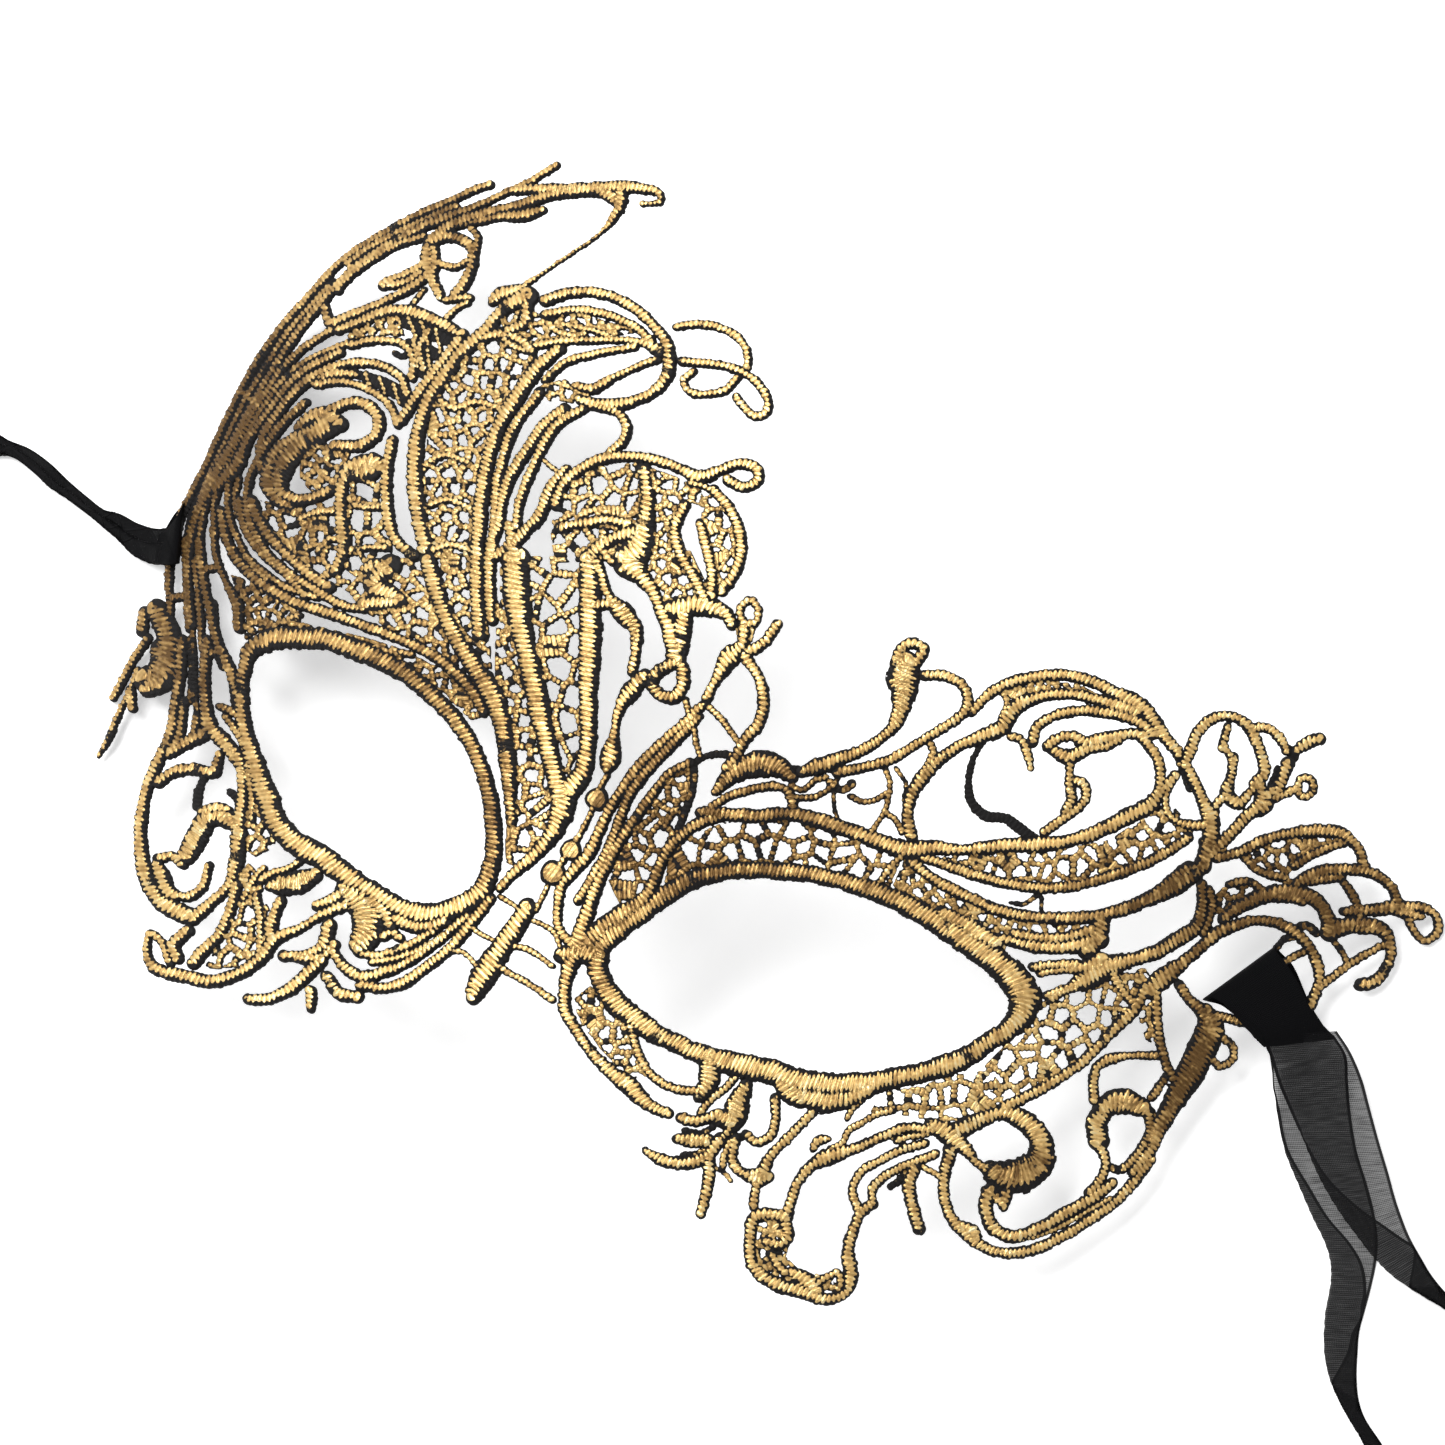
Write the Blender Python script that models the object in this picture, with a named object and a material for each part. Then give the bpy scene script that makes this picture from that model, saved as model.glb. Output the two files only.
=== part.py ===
"""Venetian lace masquerade mask with two ribbon ties, at rest on a flat surface with its face up.

Lengths are millimetres until place() turns them into metres. The embroidered fabric is one thin shell
bent round a face: X runs across the face, Y up the forehead and Z out of the face. Each motif is drawn
on a flat drafting sheet (x right, y down, 0.15 mm per unit) that is laid over the shell along rays from
a sighting point, and every motif is one closed plate cut to its own outline.
"""
import math

import bpy
import numpy as np
from mathutils import Vector
from mathutils.geometry import delaunay_2d_cdt

for old in list(bpy.data.objects):
    bpy.data.objects.remove(old, do_unlink=True)

# ---- the shell -------------------------------------------------------------------------------------
UNIT = 0.15            # mm on the sheet per drafting unit
SIGHT = 800.0          # mm from the sheet to the sighting point
TURN, NOD, ROLL = math.radians(21.0), math.radians(-1.8), math.radians(26.6)
MIDDLE = (543.0, 914.0)  # drafting point of the nose bridge
RIDGE, NOSE_R = 0.28, 23.0  # how steeply the cheeks fall from the nose ridge, and the ridge's radius
WRAP, WRAP_END = 0.10, 0.80  # how hard the temples wrap, and where the wrap turns straight
THICK = 1.3            # embroidery thickness
GAP = 2.6              # drafting units left between two motifs

# rest attitude on the table, found from the three points the shell stands on
LEAN_X, LEAN_Y = math.radians(5.5774), math.radians(-1.1643)


def shell_z(x):
    t = np.abs(x) / 100.0
    wrap = np.where(t < WRAP_END, t**3, WRAP_END**3 + 3 * WRAP_END**2 * (t - WRAP_END))
    return -RIDGE * (np.sqrt(x * x + NOSE_R**2) - NOSE_R) - WRAP * 100.0 * wrap


def shell_slope(x):
    t = np.minimum(np.abs(x) / 100.0, WRAP_END)
    return -RIDGE * x / np.sqrt(x * x + NOSE_R**2) - WRAP * 3 * t**2 * np.sign(x)


SIGHT_AXIS = np.array([math.sin(TURN) * math.cos(NOD), math.sin(NOD), math.cos(TURN) * math.cos(NOD)])
_side = np.cross([0.0, 1.0, 0.0], SIGHT_AXIS)
_side /= np.linalg.norm(_side)
_up = np.cross(SIGHT_AXIS, _side)
SHEET_RIGHT = math.cos(ROLL) * _side + math.sin(ROLL) * _up
SHEET_UP = -math.sin(ROLL) * _side + math.cos(ROLL) * _up
EYE = SIGHT_AXIS * SIGHT

_cx, _sx, _cy, _sy = math.cos(LEAN_X), math.sin(LEAN_X), math.cos(LEAN_Y), math.sin(LEAN_Y)
LEAN = np.array([[_cy, 0, _sy], [0, 1, 0], [-_sy, 0, _cy]]) @ np.array([[1, 0, 0], [0, _cx, -_sx], [0, _sx, _cx]])


def rays(points):
    p = np.asarray(points, float)
    a = (p[:, 0] - MIDDLE[0]) * UNIT
    b = -(p[:, 1] - MIDDLE[1]) * UNIT
    return a[:, None] * SHEET_RIGHT + b[:, None] * SHEET_UP - EYE


def on_shell(points):
    """Drafting points to shell points and outward normals, before the lean."""
    d = rays(points)
    steps = np.linspace(0.8, 1.4, 241)
    at = EYE + steps[:, None, None] * d
    below = at[:, :, 2] < shell_z(at[:, :, 0])
    k = np.clip(np.argmax(below, axis=0), 1, len(steps) - 1)
    lo, hi = steps[k - 1], steps[k]
    for _ in range(40):
        mid = (lo + hi) / 2
        q = EYE + mid[:, None] * d
        above = q[:, 2] > shell_z(q[:, 0])
        lo, hi = np.where(above, mid, lo), np.where(above, hi, mid)
    q = EYE + ((lo + hi) / 2)[:, None] * d
    n = np.stack([-shell_slope(q[:, 0]), np.zeros(len(q)), np.ones(len(q))], axis=1)
    return q, n / np.linalg.norm(n, axis=1)[:, None]


# ---- the motifs: width in drafting units, then x,y or x,y,width along each satin cord ----------------
MOTIFS = """
@right_eye_rim
R 20: 648,908 672,891 698,878 724,872,18 750,870,18 775,871,18 800,873,18 826,877,18 850,883,19 875,892,21 900,902,22 928,917,24 953,932,26 975,947,27 996,962,28 1013,978,32 1024,995,34 1022,1012,30 1010,1028,22 992,1040,20 968,1056,22 945,1066,24 920,1073,22 895,1078,22 870,1083,24 845,1085,25 820,1084,26 795,1080,26 770,1071,26 745,1066,26 720,1060,24 695,1052,20 672,1041,20 652,1031,22 632,1016,24 614,1000,24 602,982,22 597,963,22 602,945,22 622,928,20
c 10: 630,1024 638,1052 650,1073 672,1087 699,1091
c 20: 708,1056 708,1082,22 700,1096,14
c 22: 795,1092,16 820,1100,26 845,1099,22 868,1090,16
@left_eye_rim
R 20: 405,673,20 419,684,19 440,703,18 457,722,18 473,748,16 483,772,16 490,798,17 493,823,18 494,849,18 489,874,20 480,893,22 464,904,22 447,911,22 431,914,24 408,911,22 380,895,20 358,882,22 338,869,24 324,858,24 306,849,26 288,835,24 275,818,24 269,800,24 263,784,22 257,765,20 251,748,18 246,727,16 243,704,14 243,688,14 246,668,14 252,650,18 268,641,22 282,638,22 301,638,22 328,640,21 350,647,22 378,659,21
@nose_stems
c 22: 565,795,28 561,815,24 552,835,18 535,855,14 515,872,12 500,888,10
c 20: 590,560,22 590,640,24 588,690,20 588,740,18 583,770,20 570,792,22
c 22: 516,560,28 517,600,28 525,645,22 538,700,24 545,735,20 554,770,20 562,800,22
@long_plume
c 18: 428,560,18 440,600,18 455,635,18 473,665,20 490,690,22 502,720,20 507,755,19 510,790,15 512,822,12
@bridge_cords
c 12: 703,705 690,718 660,745 640,765 625,785 612,805 600,830 588,855,14 573,872,14 562,886,12 558,905,11 559,928,10 572,944,12
c 12: 690,762,10 668,775,10 652,795,11 638,815 622,838 610,860,13 598,882,14 590,905,16 582,930,18 578,948,24
c 13: 722,815 695,826 672,845 660,865 650,890,14 640,903,18 622,914,20 604,927,22 590,942,26
c 14: 580,945,24 570,965,18 565,990,14 566,1010,14 578,1032,13 592,1052,13 612,1072,15 630,1086,20 650,1105,14 668,1113,12
@nose_drop
c 22: 528,908,20 515,928,22 503,945,22 492,962,26 480,982,26 473,997,16
c 8: 497,965 512,974 530,984 552,999,9
c 7: 508,944 525,948 541,957 553,966
@left_cheek_arc
c 12: 492,898,10 470,925 450,948 425,968 400,984 380,987 362,984
c 10: 470,915,9 455,927 440,940 420,955 400,966 383,972,13 362,976,14 345,966,12 335,952,12
c 10: 440,927 418,940 398,949 378,955 360,952
@right_brow_band
c 15: 700,812,12 735,815,15 760,816 790,814 820,821,17 850,831,17 880,842,17 905,850,20 935,848,16 965,850,12 1000,846,16 1040,845,16 1070,841,14 1100,831,16 1130,816,18 1150,806,18 1163,790,12 1176,776,12
c 12: 925,858 960,870 1000,882 1040,888 1070,887 1100,880 1130,870 1160,857 1190,838
c 13: 912,862,12 935,880,12 970,898 1000,911 1040,918 1080,918,14 1110,914 1140,904,14 1165,889,16 1190,868,16
c 12: 1014,934 1040,938 1070,937 1092,930
c 20: 1102,920,20 1098,935,22 1088,950,22
c 8: 905,852 890,868 880,882
@right_brow_plume
c 14: 897,662,12 902,648,12 912,643,12 924,648,12 916,664,12
c 14: 905,665,30 905,685,30 905,702,18 899,719,14 885,735,12 865,749,12 845,757,14 820,766,18 802,772,12
c 12: 925,675 945,676 962,684 969,698 965,712 948,725 928,737,11 905,752,11 885,762,11 860,768,12 838,772,12
@right_brow_scroll
c 13: 972,712,10 990,694 1010,683 1040,676 1065,675 1090,680 1115,692,15 1140,705,18 1155,720,16 1167,738 1180,753
c 13: 912,838 908,815 912,795,14 925,775,16 940,760,14 958,747 980,737,15 1003,727,18 1015,708,18 1040,697 1070,694 1095,699 1120,706,15 1140,712,16
c 12: 1033,742 1038,727 1055,716 1080,711 1110,713 1140,722 1155,735
c 12: 1048,746 1058,739 1073,736 1085,742,14 1102,740,16 1120,735 1140,735 1152,748 1160,762 1162,780 1158,797
c 12: 1052,750 1070,757,16 1090,748 
c 9: 1071,762 1070,776 1070,790
c 11: 1074,780 1084,784 1087,797 1078,809 1062,820 1045,832
c 12: 988,738 974,758,10 969,780,10 971,800,13 984,815,14 1004,818,14 1020,826,12
@right_upper_plumes
c 12: 1186,766 1193,748 1200,732 1212,720 1228,716 1246,722 1257,738 1264,757 1266,773,14 1256,784,12
c 11: 1258,728 1270,728 1282,738 1289,750
c 14: 1297,752,10 1310,743 1322,739
c 14: 1290,764 1284,780 1278,796
c 9: 1300,787 1304,779 1313,780 1316,788 1311,796 1302,795 1300,787
c 10: 1290,792 1300,788
c 10: 1230,726 1224,748
c 11: 1236,757 1233,775 1229,795,16 1240,804,14 1252,792,10 1262,783
c 13: 1205,862,18 1212,840,18 1212,818,18 1204,800,13 1196,782,12 1188,766,12
c 13: 1200,868 1225,842 1245,820 1262,804,16 1263,785,12
c 13: 1275,790 1268,797
c 9: 1178,775 1168,792 1168,810 1178,822 1195,826,12 1208,826,12
@right_temple_fan
c 12: 1218,858 1240,853 1265,841 1290,834 1320,831,14 1345,835,14 1361,850,11 1367,868,12
c 11: 1296,866 1318,853 1345,843
c 15: 1225,918,13 1245,905,15 1270,895,18 1292,892,16 1315,898,14 1327,912,14 1332,930,18
c 14: 1297,884,12 1318,874,16 1345,870,13 1375,874,13 1394,888,11 1401,906,12
c 10: 1345,882 1357,900 1362,918
c 13: 1332,932,22 1360,924,16 1384,930,16 1393,950,12 1386,972,12 1372,984,14 1362,985,14
c 14: 1345,912,10 1370,911 1400,908,14 1422,908,12 1437,915,10 1440,932,10 1428,942,9 1415,930,9 1410,915,10
c 9: 1320,988 1350,966 1375,951 1390,944
c 8: 1336,942 1345,955 1350,966
c 9: 1245,858 1262,872 1285,878
c 9: 1230,885 1250,882 1268,893
@right_outer_band
c 16: 1050,1000,9 1068,989,10 1090,978,26 1110,966,24 1130,961,16 1155,953,16 1176,941,16 1198,926,16 1203,905,12 1203,885,12
c 11: 1033,968 1055,965 1078,966,14
c 14: 1150,990,18 1165,978,22 1185,962,14 1200,949,14 1215,936,14 1235,926,13 1258,921,11 1280,924,12 1300,936,13 1315,955,12 1321,980,12 1312,1006,12
c 10: 1112,972 1122,990 1134,1004
c 11: 1146,985 1136,1008,14 1118,1026,13 1100,1045,12 1085,1060,12 1060,1078,12 1030,1095,12 1002,1108,12
c 11: 1157,985 1157,1015 1160,1040 1165,1060 1172,1078
c 12: 1180,985 1190,1000 1203,1012,16 1214,1030,22 1203,1055,24 1193,1075,24 1178,1098,20 1163,1125,14 1150,1150,14 1132,1172,13
c 9: 1222,1038 1233,1046 1233,1060 1221,1067 1212,1060
c 11: 1214,1015 1240,1022 1270,1025 1295,1020 1312,1006
@right_cheek_hook
c 9: 1158,1056 1130,1056 1113,1059,12 1098,1066,11 1093,1082,11 1094,1100,12
c 20: 1098,1140,22 1097,1122,22 1110,1107,20 1130,1106,18 1146,1112,14
c 10: 1148,1112 1150,1130 1142,1147 1132,1160 1122,1170
c 11: 1100,1146 1105,1162 1100,1180 1088,1193 
@right_cheek_spiral
c 18: 955,1132,22 975,1122,18 1000,1113,16 1025,1122,22 1040,1140,24 1040,1160,30 1022,1175,36 1000,1175,30 990,1170,20
c 14: 990,1190,16 985,1207,15 992,1227,15 1012,1236,14 1040,1227,14 1065,1213,14 1090,1199,14 1112,1183,12
c 12: 950,1150,16 943,1180 945,1203 956,1225 975,1242 1000,1252 1030,1250 1060,1237 1090,1219 1110,1205 1130,1186 1150,1160
@lower_fringe
c 12: 680,1117 695,1120 718,1114,14
c 10: 712,1150 722,1138 731,1126
c 18: 745,1085,14 738,1102,24 732,1118,28 716,1116,16
c 14: 645,1150,9 665,1160 690,1162 708,1154 720,1138
c 12: 675,1137,8 695,1138,14 708,1139
c 14: 708,1155 709,1175 705,1195,12 700,1212,12
c 12: 735,1138 732,1160 742,1172 765,1172,12
c 11: 745,1133 756,1141 770,1134 775,1118 775,1098
c 11: 812,1112 785,1140 770,1155 762,1172,16 755,1188 753,1206
@lower_loop
c 14: 785,1216,12 770,1213,14 754,1216,14 749,1240,13 753,1265,14 772,1281,16 800,1290,16 826,1298,12 846,1290,12 850,1272,16 847,1250,14 853,1228,12 860,1212,12 872,1203,12
c 10: 858,1210 852,1190 860,1172 880,1160 905,1148 925,1143
c 10: 872,1204 872,1188 888,1173 912,1162 935,1154
c 12: 786,1216 791,1200 797,1182 810,1166 828,1156,18 855,1148 880,1137 905,1128 935,1130
c 14: 914,1166 908,1185 912,1205 918,1228
c 10: 770,1252 776,1262 785,1272
c 12: 765,1240 780,1243 788,1233 784,1220
@crest_left_edge
c 9: 172,615,7 170,580 173,550 184,512 205,470 225,425 250,375 280,330 310,295 345,258 385,232 420,213 455,198 475,188 490,183
c 9: 193,625,11 190,590 190,555 198,520 214,482,18 232,450,14 258,398 290,345 320,305 352,270 392,243 432,222,12 470,208 500,194,8 530,180,8 557,163,8
c 10: 172,598 192,596
c 8: 242,392 256,404
c 8: 344,258 356,272
c 10: 214,490,14 235,470,16 250,440 275,405 300,375 340,352 
c 10: 325,306 331,322,12 355,313,10 385,301 410,288 428,275
@crest_top_plume
c 13: 430,240,12 450,226 480,214,12 520,204,12 560,191,14 600,187,16 640,186,12 660,192,10 660,200,8 643,202,6
c 10: 622,190,14 620,205,12 600,232,4 570,253,4 545,270,4 525,284,7
c 12: 455,226,8 500,216,10 525,214,14 543,208,8
c 12: 430,240 450,236 470,244 473,260 466,280 454,296
c 10: 434,245 436,262 432,280 441,296
c 8: 437,262 455,266 468,260
c 10: 428,262 408,273 390,280 383,284
@crest_fore_lobe
c 12: 338,330,10 360,322,10 385,312 410,311,14 440,322,14 462,334,12
c 9: 445,300 455,298 470,297
c 9: 350,345 380,340 404,344 414,360 412,378 
c 11: 262,470,9 262,445 285,405 312,378 345,364 375,364 400,376,10 408,395,9
c 9: 315,385 345,382 370,390 390,405 398,425
c 12: 460,340 438,368 418,395 402,420
c 9: 430,330 420,350 425,368
@crest_feathers
c 15: 528,295,22 505,308,14 484,332 462,352 443,378 428,402 418,435,16 415,475,17 419,515,17 426,548,17
c 15: 560,348,12 537,368 518,395,17 500,425,15 490,455,14 483,490 479,530 477,570 478,605 480,635
c 13: 565,408 545,425 527,450 512,475 503,500,11 500,520,12
c 13: 566,468,10 550,490 540,515 522,535 508,548 494,558,10
c 12: 500,522 492,545 490,580 492,620
c 8: 440,400 455,408 475,402 500,408
c 8: 425,465 445,455 468,462
c 8: 430,505 450,500 470,508
c 8: 432,550 450,545 470,550
c 8: 500,330 512,345 530,350
c 12: 528,305 525,322 510,330
@crest_loops
c 12: 545,300,14 570,292 600,292 630,304 655,325 668,345 668,372,14 655,390 635,400 605,405,14 580,400,12
c 10: 545,314 575,309 605,313 635,326 652,340
c 9: 535,345 560,341 600,339 640,341 660,350,14
c 9: 545,380 565,362 600,352 635,346
c 9: 575,385 592,388,12 615,376 645,363 658,358
c 11: 600,406 618,412 627,428 622,442 610,452
c 8: 548,322 560,332 575,335
@crest_curl
c 9: 676,326 692,323 715,325 738,336 748,352 748,366
c 10: 682,361 705,362 732,367 750,375 763,388 769,402 765,413 755,415 745,407 737,396
c 9: 694,370 684,380 690,391 710,393 728,388 738,376
@medallion
c 12: 556,505 562,488 575,473 595,461 620,456 650,458 680,468 700,477,16 720,470 742,463 757,468 758,480 745,487 728,480
c 12: 714,490 730,508 740,532 741,556 733,576 722,590,14
c 12: 685,505 675,530 682,556 697,582 706,600
c 12: 700,522,10 706,545 712,570 712,595
c 16: 645,470 648,505 640,545,30 630,560,36 640,575,20 652,590,14 662,612,14 672,635,20 676,658,20
c 12: 560,528 580,524 605,520 628,524
c 10: 612,600,10 622,612,22 634,628,14 636,650,11 632,672,11
c 14: 680,664 683,682 675,697 660,695 652,682 660,670 680,664
c 14: 645,675 632,690,20 620,708,12 614,735,10 610,758,22 607,770,8
c 20: 672,610,20 700,605,22 722,612,16
c 10: 604,530 604,550 612,562
@side_loop
c 14: 745,628 742,645,14 730,658,22 716,680,12 707,698,12
c 13: 744,655 759,678,12 764,702,14 758,725 744,741,12 736,757,12 728,768
c 8: 708,706 722,720 738,742
c 9: 750,600 758,608 756,622 744,622 741,608 750,600
c 12: 748,652 764,643 777,624
@bead_chain
C 12: 597,799
C 11: 571,850
C 13: 553,873
c 7: 607,776 600,788 594,805 585,825 573,845 560,865
@paisley
c 10: 306,402 285,422 266,448 250,480,9 249,512 262,545 285,570 312,588 345,606 364,609
c 10: 318,430 290,440,9 270,468
c 22: 330,424,26 300,445,26 282,470,22 283,493,14 305,500,12 332,490,12
c 13: 330,410,12 358,402 377,414 378,432 362,445 335,446 
c 14: 370,470,24 345,480,14 342,515,14 344,550,14 336,572,12
c 12: 392,440 387,475 388,512 396,540 415,556
c 22: 390,565,24 375,585,24 400,600,16 365,605,16
c 8: 300,520 320,512 335,512
c 8: 318,552 330,540 342,540
c 8: 355,505 370,508 386,505
c 8: 350,550 368,548 388,548
@left_brow_band
c 12: 222,510,10 228,540 245,568 272,590 300,604 335,615 370,628 402,640 432,655 455,672,13 474,694,12 484,712,12
c 10: 240,500 246,528 262,552 290,578 306,596
c 8: 300,615 285,622
c 8: 400,652 412,655
@left_temple_cords
c 8: 214,530 218,560 228,585 238,605,12 240,628,12
c 10: 200,540 204,575 210,605 218,640 230,670
c 12: 209,640 206,670,12 207,700 212,728,16 226,742,16 236,758,12
c 8: 206,655 224,652
c 8: 202,570 220,568
@left_cheek_scroll
c 13: 183,640,12 182,670,12 178,700,12 172,735,12 158,765,12 147,795,12 143,820,13 143,850,14 150,880,18 165,903,18 190,915,20
c 12: 205,735,14 185,745,12 170,755,9
c 12: 160,782 175,772 195,769,13 215,772,14 221,755,9
c 12: 244,770,12 244,800,12 240,830,16 238,860,16 230,885,12 210,905,12 195,918,14
c 20: 185,858,16 197,840,22 208,820,20 230,815,14
c 10: 160,858 175,856 185,865
c 10: 210,865 205,885 190,896 172,893
c 12: 238,885 232,910,12 220,935,12 205,950,14 195,962,14
c 12: 190,930 176,945,14 180,958,12
@left_temple_fan
c 22: 158,610,22 170,640,26 165,675,34 150,680,30 
c 9: 150,638 135,660 122,685 115,698
c 12: 146,612 143,632
c 7: 140,670 130,695 122,710 112,735 100,757,3
c 10: 132,690 134,708
@left_cheek_curl
c 13: 172,962,10 163,940,9 153,933,9 149,948,9 156,966,13 185,975,14 215,980,14 240,973,14 262,958,14 278,938,14 300,928,10 322,915,10 345,905,14
c 10: 262,958 262,940 262,915 258,895
c 22: 280,885,20 300,882,24 316,875,16
c 8: 245,900 255,880 265,868
c 26: 345,890,20 365,905,36 372,930,28 362,948,20
c 12: 285,955 305,955 325,945,16 330,925,16
c 14: 250,998,12 270,998,12 292,988 310,972 322,960
c 12: 312,1008,10 312,990,12
c 14: 328,975,12 340,992,14 358,996,14
"""


def read_motifs(text):
    motifs, name = {}, None
    for line in text.strip().splitlines():
        if line.startswith("@"):
            name = line[1:]
            motifs[name] = []
            continue
        head, _, rest = line.partition(":")
        kind, width = head.split()
        points = []
        for word in rest.split():
            v = [float(n) for n in word.split(",")]
            points.append((v[0], v[1], v[2] if len(v) > 2 else float(width)))
        motifs[name].append((kind, np.array(points)))
    return motifs


def stroke_polygons(kind, pts, grow=0.0):
    """Convex-ish pieces that cover a cord drawn at these widths."""
    if kind == "C":
        x, y, w = pts[0]
        r = w + grow
        return [[(x + r * math.cos(t), y + r * math.sin(t)) for t in np.linspace(0, 2 * math.pi, 11)[:-1]]]
    closed = kind == "R" or (len(pts) > 3 and np.hypot(*(pts[0, :2] - pts[-1, :2])) < 1)
    if closed and kind != "R":
        pts = pts[:-1]
    n = len(pts)
    p, w = pts[:, :2], pts[:, 2] / 2 + grow
    if closed:
        before, after = np.roll(p, 1, axis=0), np.roll(p, -1, axis=0)
    else:
        before = np.vstack([p[:1] * 2 - p[1:2], p[:-1]])
        after = np.vstack([p[1:], p[-1:] * 2 - p[-2:-1]])
        ends = p.copy()
        ends[0] -= (p[1] - p[0]) / np.linalg.norm(p[1] - p[0]) * w[0] * 0.8
        ends[-1] += (p[-1] - p[-2]) / np.linalg.norm(p[-1] - p[-2]) * w[-1] * 0.8
        p = ends
    d0 = p - before
    d1 = after - p
    d0 = np.where(np.linalg.norm(d0, axis=1)[:, None] > 1e-6, d0, d1)
    d1 = np.where(np.linalg.norm(d1, axis=1)[:, None] > 1e-6, d1, d0)
    d0 = d0 / np.linalg.norm(d0, axis=1)[:, None]
    d1 = d1 / np.linalg.norm(d1, axis=1)[:, None]
    t = d0 + d1
    t /= np.linalg.norm(t, axis=1)[:, None]
    miter = 1.0 / np.clip((t * d1).sum(axis=1), 0.75, 1.0)
    nrm = np.stack([-t[:, 1], t[:, 0]], axis=1) * (w * miter)[:, None]
    left, right = p + nrm, p - nrm
    out = []
    for i in range(n if closed else n - 1):
        j = (i + 1) % n
        out.append([tuple(left[i]), tuple(left[j]), tuple(right[j]), tuple(right[i])])
    return out


def fix_order(poly):
    area = sum(a[0] * b[1] - b[0] * a[1] for a, b in zip(poly, poly[1:] + poly[:1]))
    return poly if area > 0 else poly[::-1]


def crosses(poly):
    """True where a quad's two long sides cross, as on the inside of a tight turn."""
    (ax, ay), (bx, by), (cx, cy), (dx, dy) = poly
    def side(px, py, qx, qy, rx, ry):
        return (qx - px) * (ry - py) - (qy - py) * (rx - px)
    return side(ax, ay, bx, by, cx, cy) * side(ax, ay, bx, by, dx, dy) < 0 and side(cx, cy, dx, dy, ax, ay) * side(cx, cy, dx, dy, bx, by) < 0


def cover(strokes, grow=0.0):
    out = []
    for kind, pts in strokes:
        for poly in stroke_polygons(kind, pts, grow):
            if len(poly) == 4 and crosses(poly):
                poly = [poly[0], poly[2], poly[1], poly[3]]
            out.append(fix_order(poly))
    return out


def near(poly, box):
    xs = [q[0] for q in poly]
    ys = [q[1] for q in poly]
    return max(xs) > box[0] and min(xs) < box[2] and max(ys) > box[1] and min(ys) < box[3]


def largest_sheet(tris):
    """The biggest edge-connected set of triangles, with no two fans meeting at one vertex."""
    tris = [tuple(t) for t in tris]
    while True:
        owners = {}
        for i, t in enumerate(tris):
            for a, b in ((t[0], t[1]), (t[1], t[2]), (t[2], t[0])):
                owners.setdefault((min(a, b), max(a, b)), []).append(i)
        seen, best = set(), []
        for i in range(len(tris)):
            if i in seen:
                continue
            group, stack = [], [i]
            seen.add(i)
            while stack:
                k = stack.pop()
                group.append(k)
                t = tris[k]
                for a, b in ((t[0], t[1]), (t[1], t[2]), (t[2], t[0])):
                    for other in owners[(min(a, b), max(a, b))]:
                        if other not in seen:
                            seen.add(other)
                            stack.append(other)
            if len(group) > len(best):
                best = group
        tris = [tris[k] for k in sorted(best)]
        fans = {}
        for i, t in enumerate(tris):
            for v in t:
                fans.setdefault(v, []).append(i)
        drop = set()
        for v, members in fans.items():
            left, groups = set(members), []
            while left:
                stack = [min(left)]
                left.discard(stack[0])
                group = []
                while stack:
                    k = stack.pop()
                    group.append(k)
                    for m in sorted(left):
                        if len(set(tris[k]) & set(tris[m])) == 2:
                            left.discard(m)
                            stack.append(m)
                groups.append(group)
            if len(groups) > 1:
                groups.sort(key=len)
                for group in groups[:-1]:
                    drop.update(group)
        if not drop:
            return tris
        tris = [t for i, t in enumerate(tris) if i not in drop]


def flat_sheet(own, cut):
    verts, faces = [], []
    for poly in own + cut:
        faces.append(list(range(len(verts), len(verts) + len(poly))))
        verts.extend(Vector((round(x, 3), round(y, 3))) for x, y in poly)
    co, _, tri, _, _, src = delaunay_2d_cdt(verts, [], faces, 1, 0.35, True)
    mine = len(own)
    keep = [t for t, s in zip(tri, src) if any(k < mine for k in s) and not any(k >= mine for k in s)]
    flat = [(c[0], c[1]) for c in co]
    good = []
    for t in keep:
        (ax, ay), (bx, by), (cx, cy) = (flat[i] for i in t)
        area = (bx - ax) * (cy - ay) - (by - ay) * (cx - ax)
        if abs(area) < 1e-4:
            continue
        good.append(t if area > 0 else (t[0], t[2], t[1]))
    tris = largest_sheet(good)
    used = sorted({v for t in tris for v in t})
    index = {v: i for i, v in enumerate(used)}
    return np.array([flat[v] for v in used]), [tuple(index[v] for v in t) for t in tris]


def plate(points, normals, tris, thick):
    n = len(points)
    top, bottom = points + normals * thick / 2, points - normals * thick / 2
    faces = []
    edges = {}
    for a, b, c in tris:
        # the sheet's y runs down, so its triangles face out when taken the other way round
        faces.append((a, c, b))
        faces.append((a + n, b + n, c + n))
        for e in ((a, b), (b, c), (c, a)):
            edges[e] = True
    for a, b in edges:
        if (b, a) not in edges:
            faces.append((a, b, b + n))
            faces.append((a, b + n, a + n))
    return np.vstack([top, bottom]), faces


def make(name, verts_mm, faces):
    mesh = bpy.data.meshes.new(name)
    mesh.from_pydata([tuple(v) for v in np.asarray(verts_mm) / 1000.0], [], faces)
    mesh.update()
    obj = bpy.data.objects.new(name, mesh)
    bpy.context.collection.objects.link(obj)
    return obj


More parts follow.
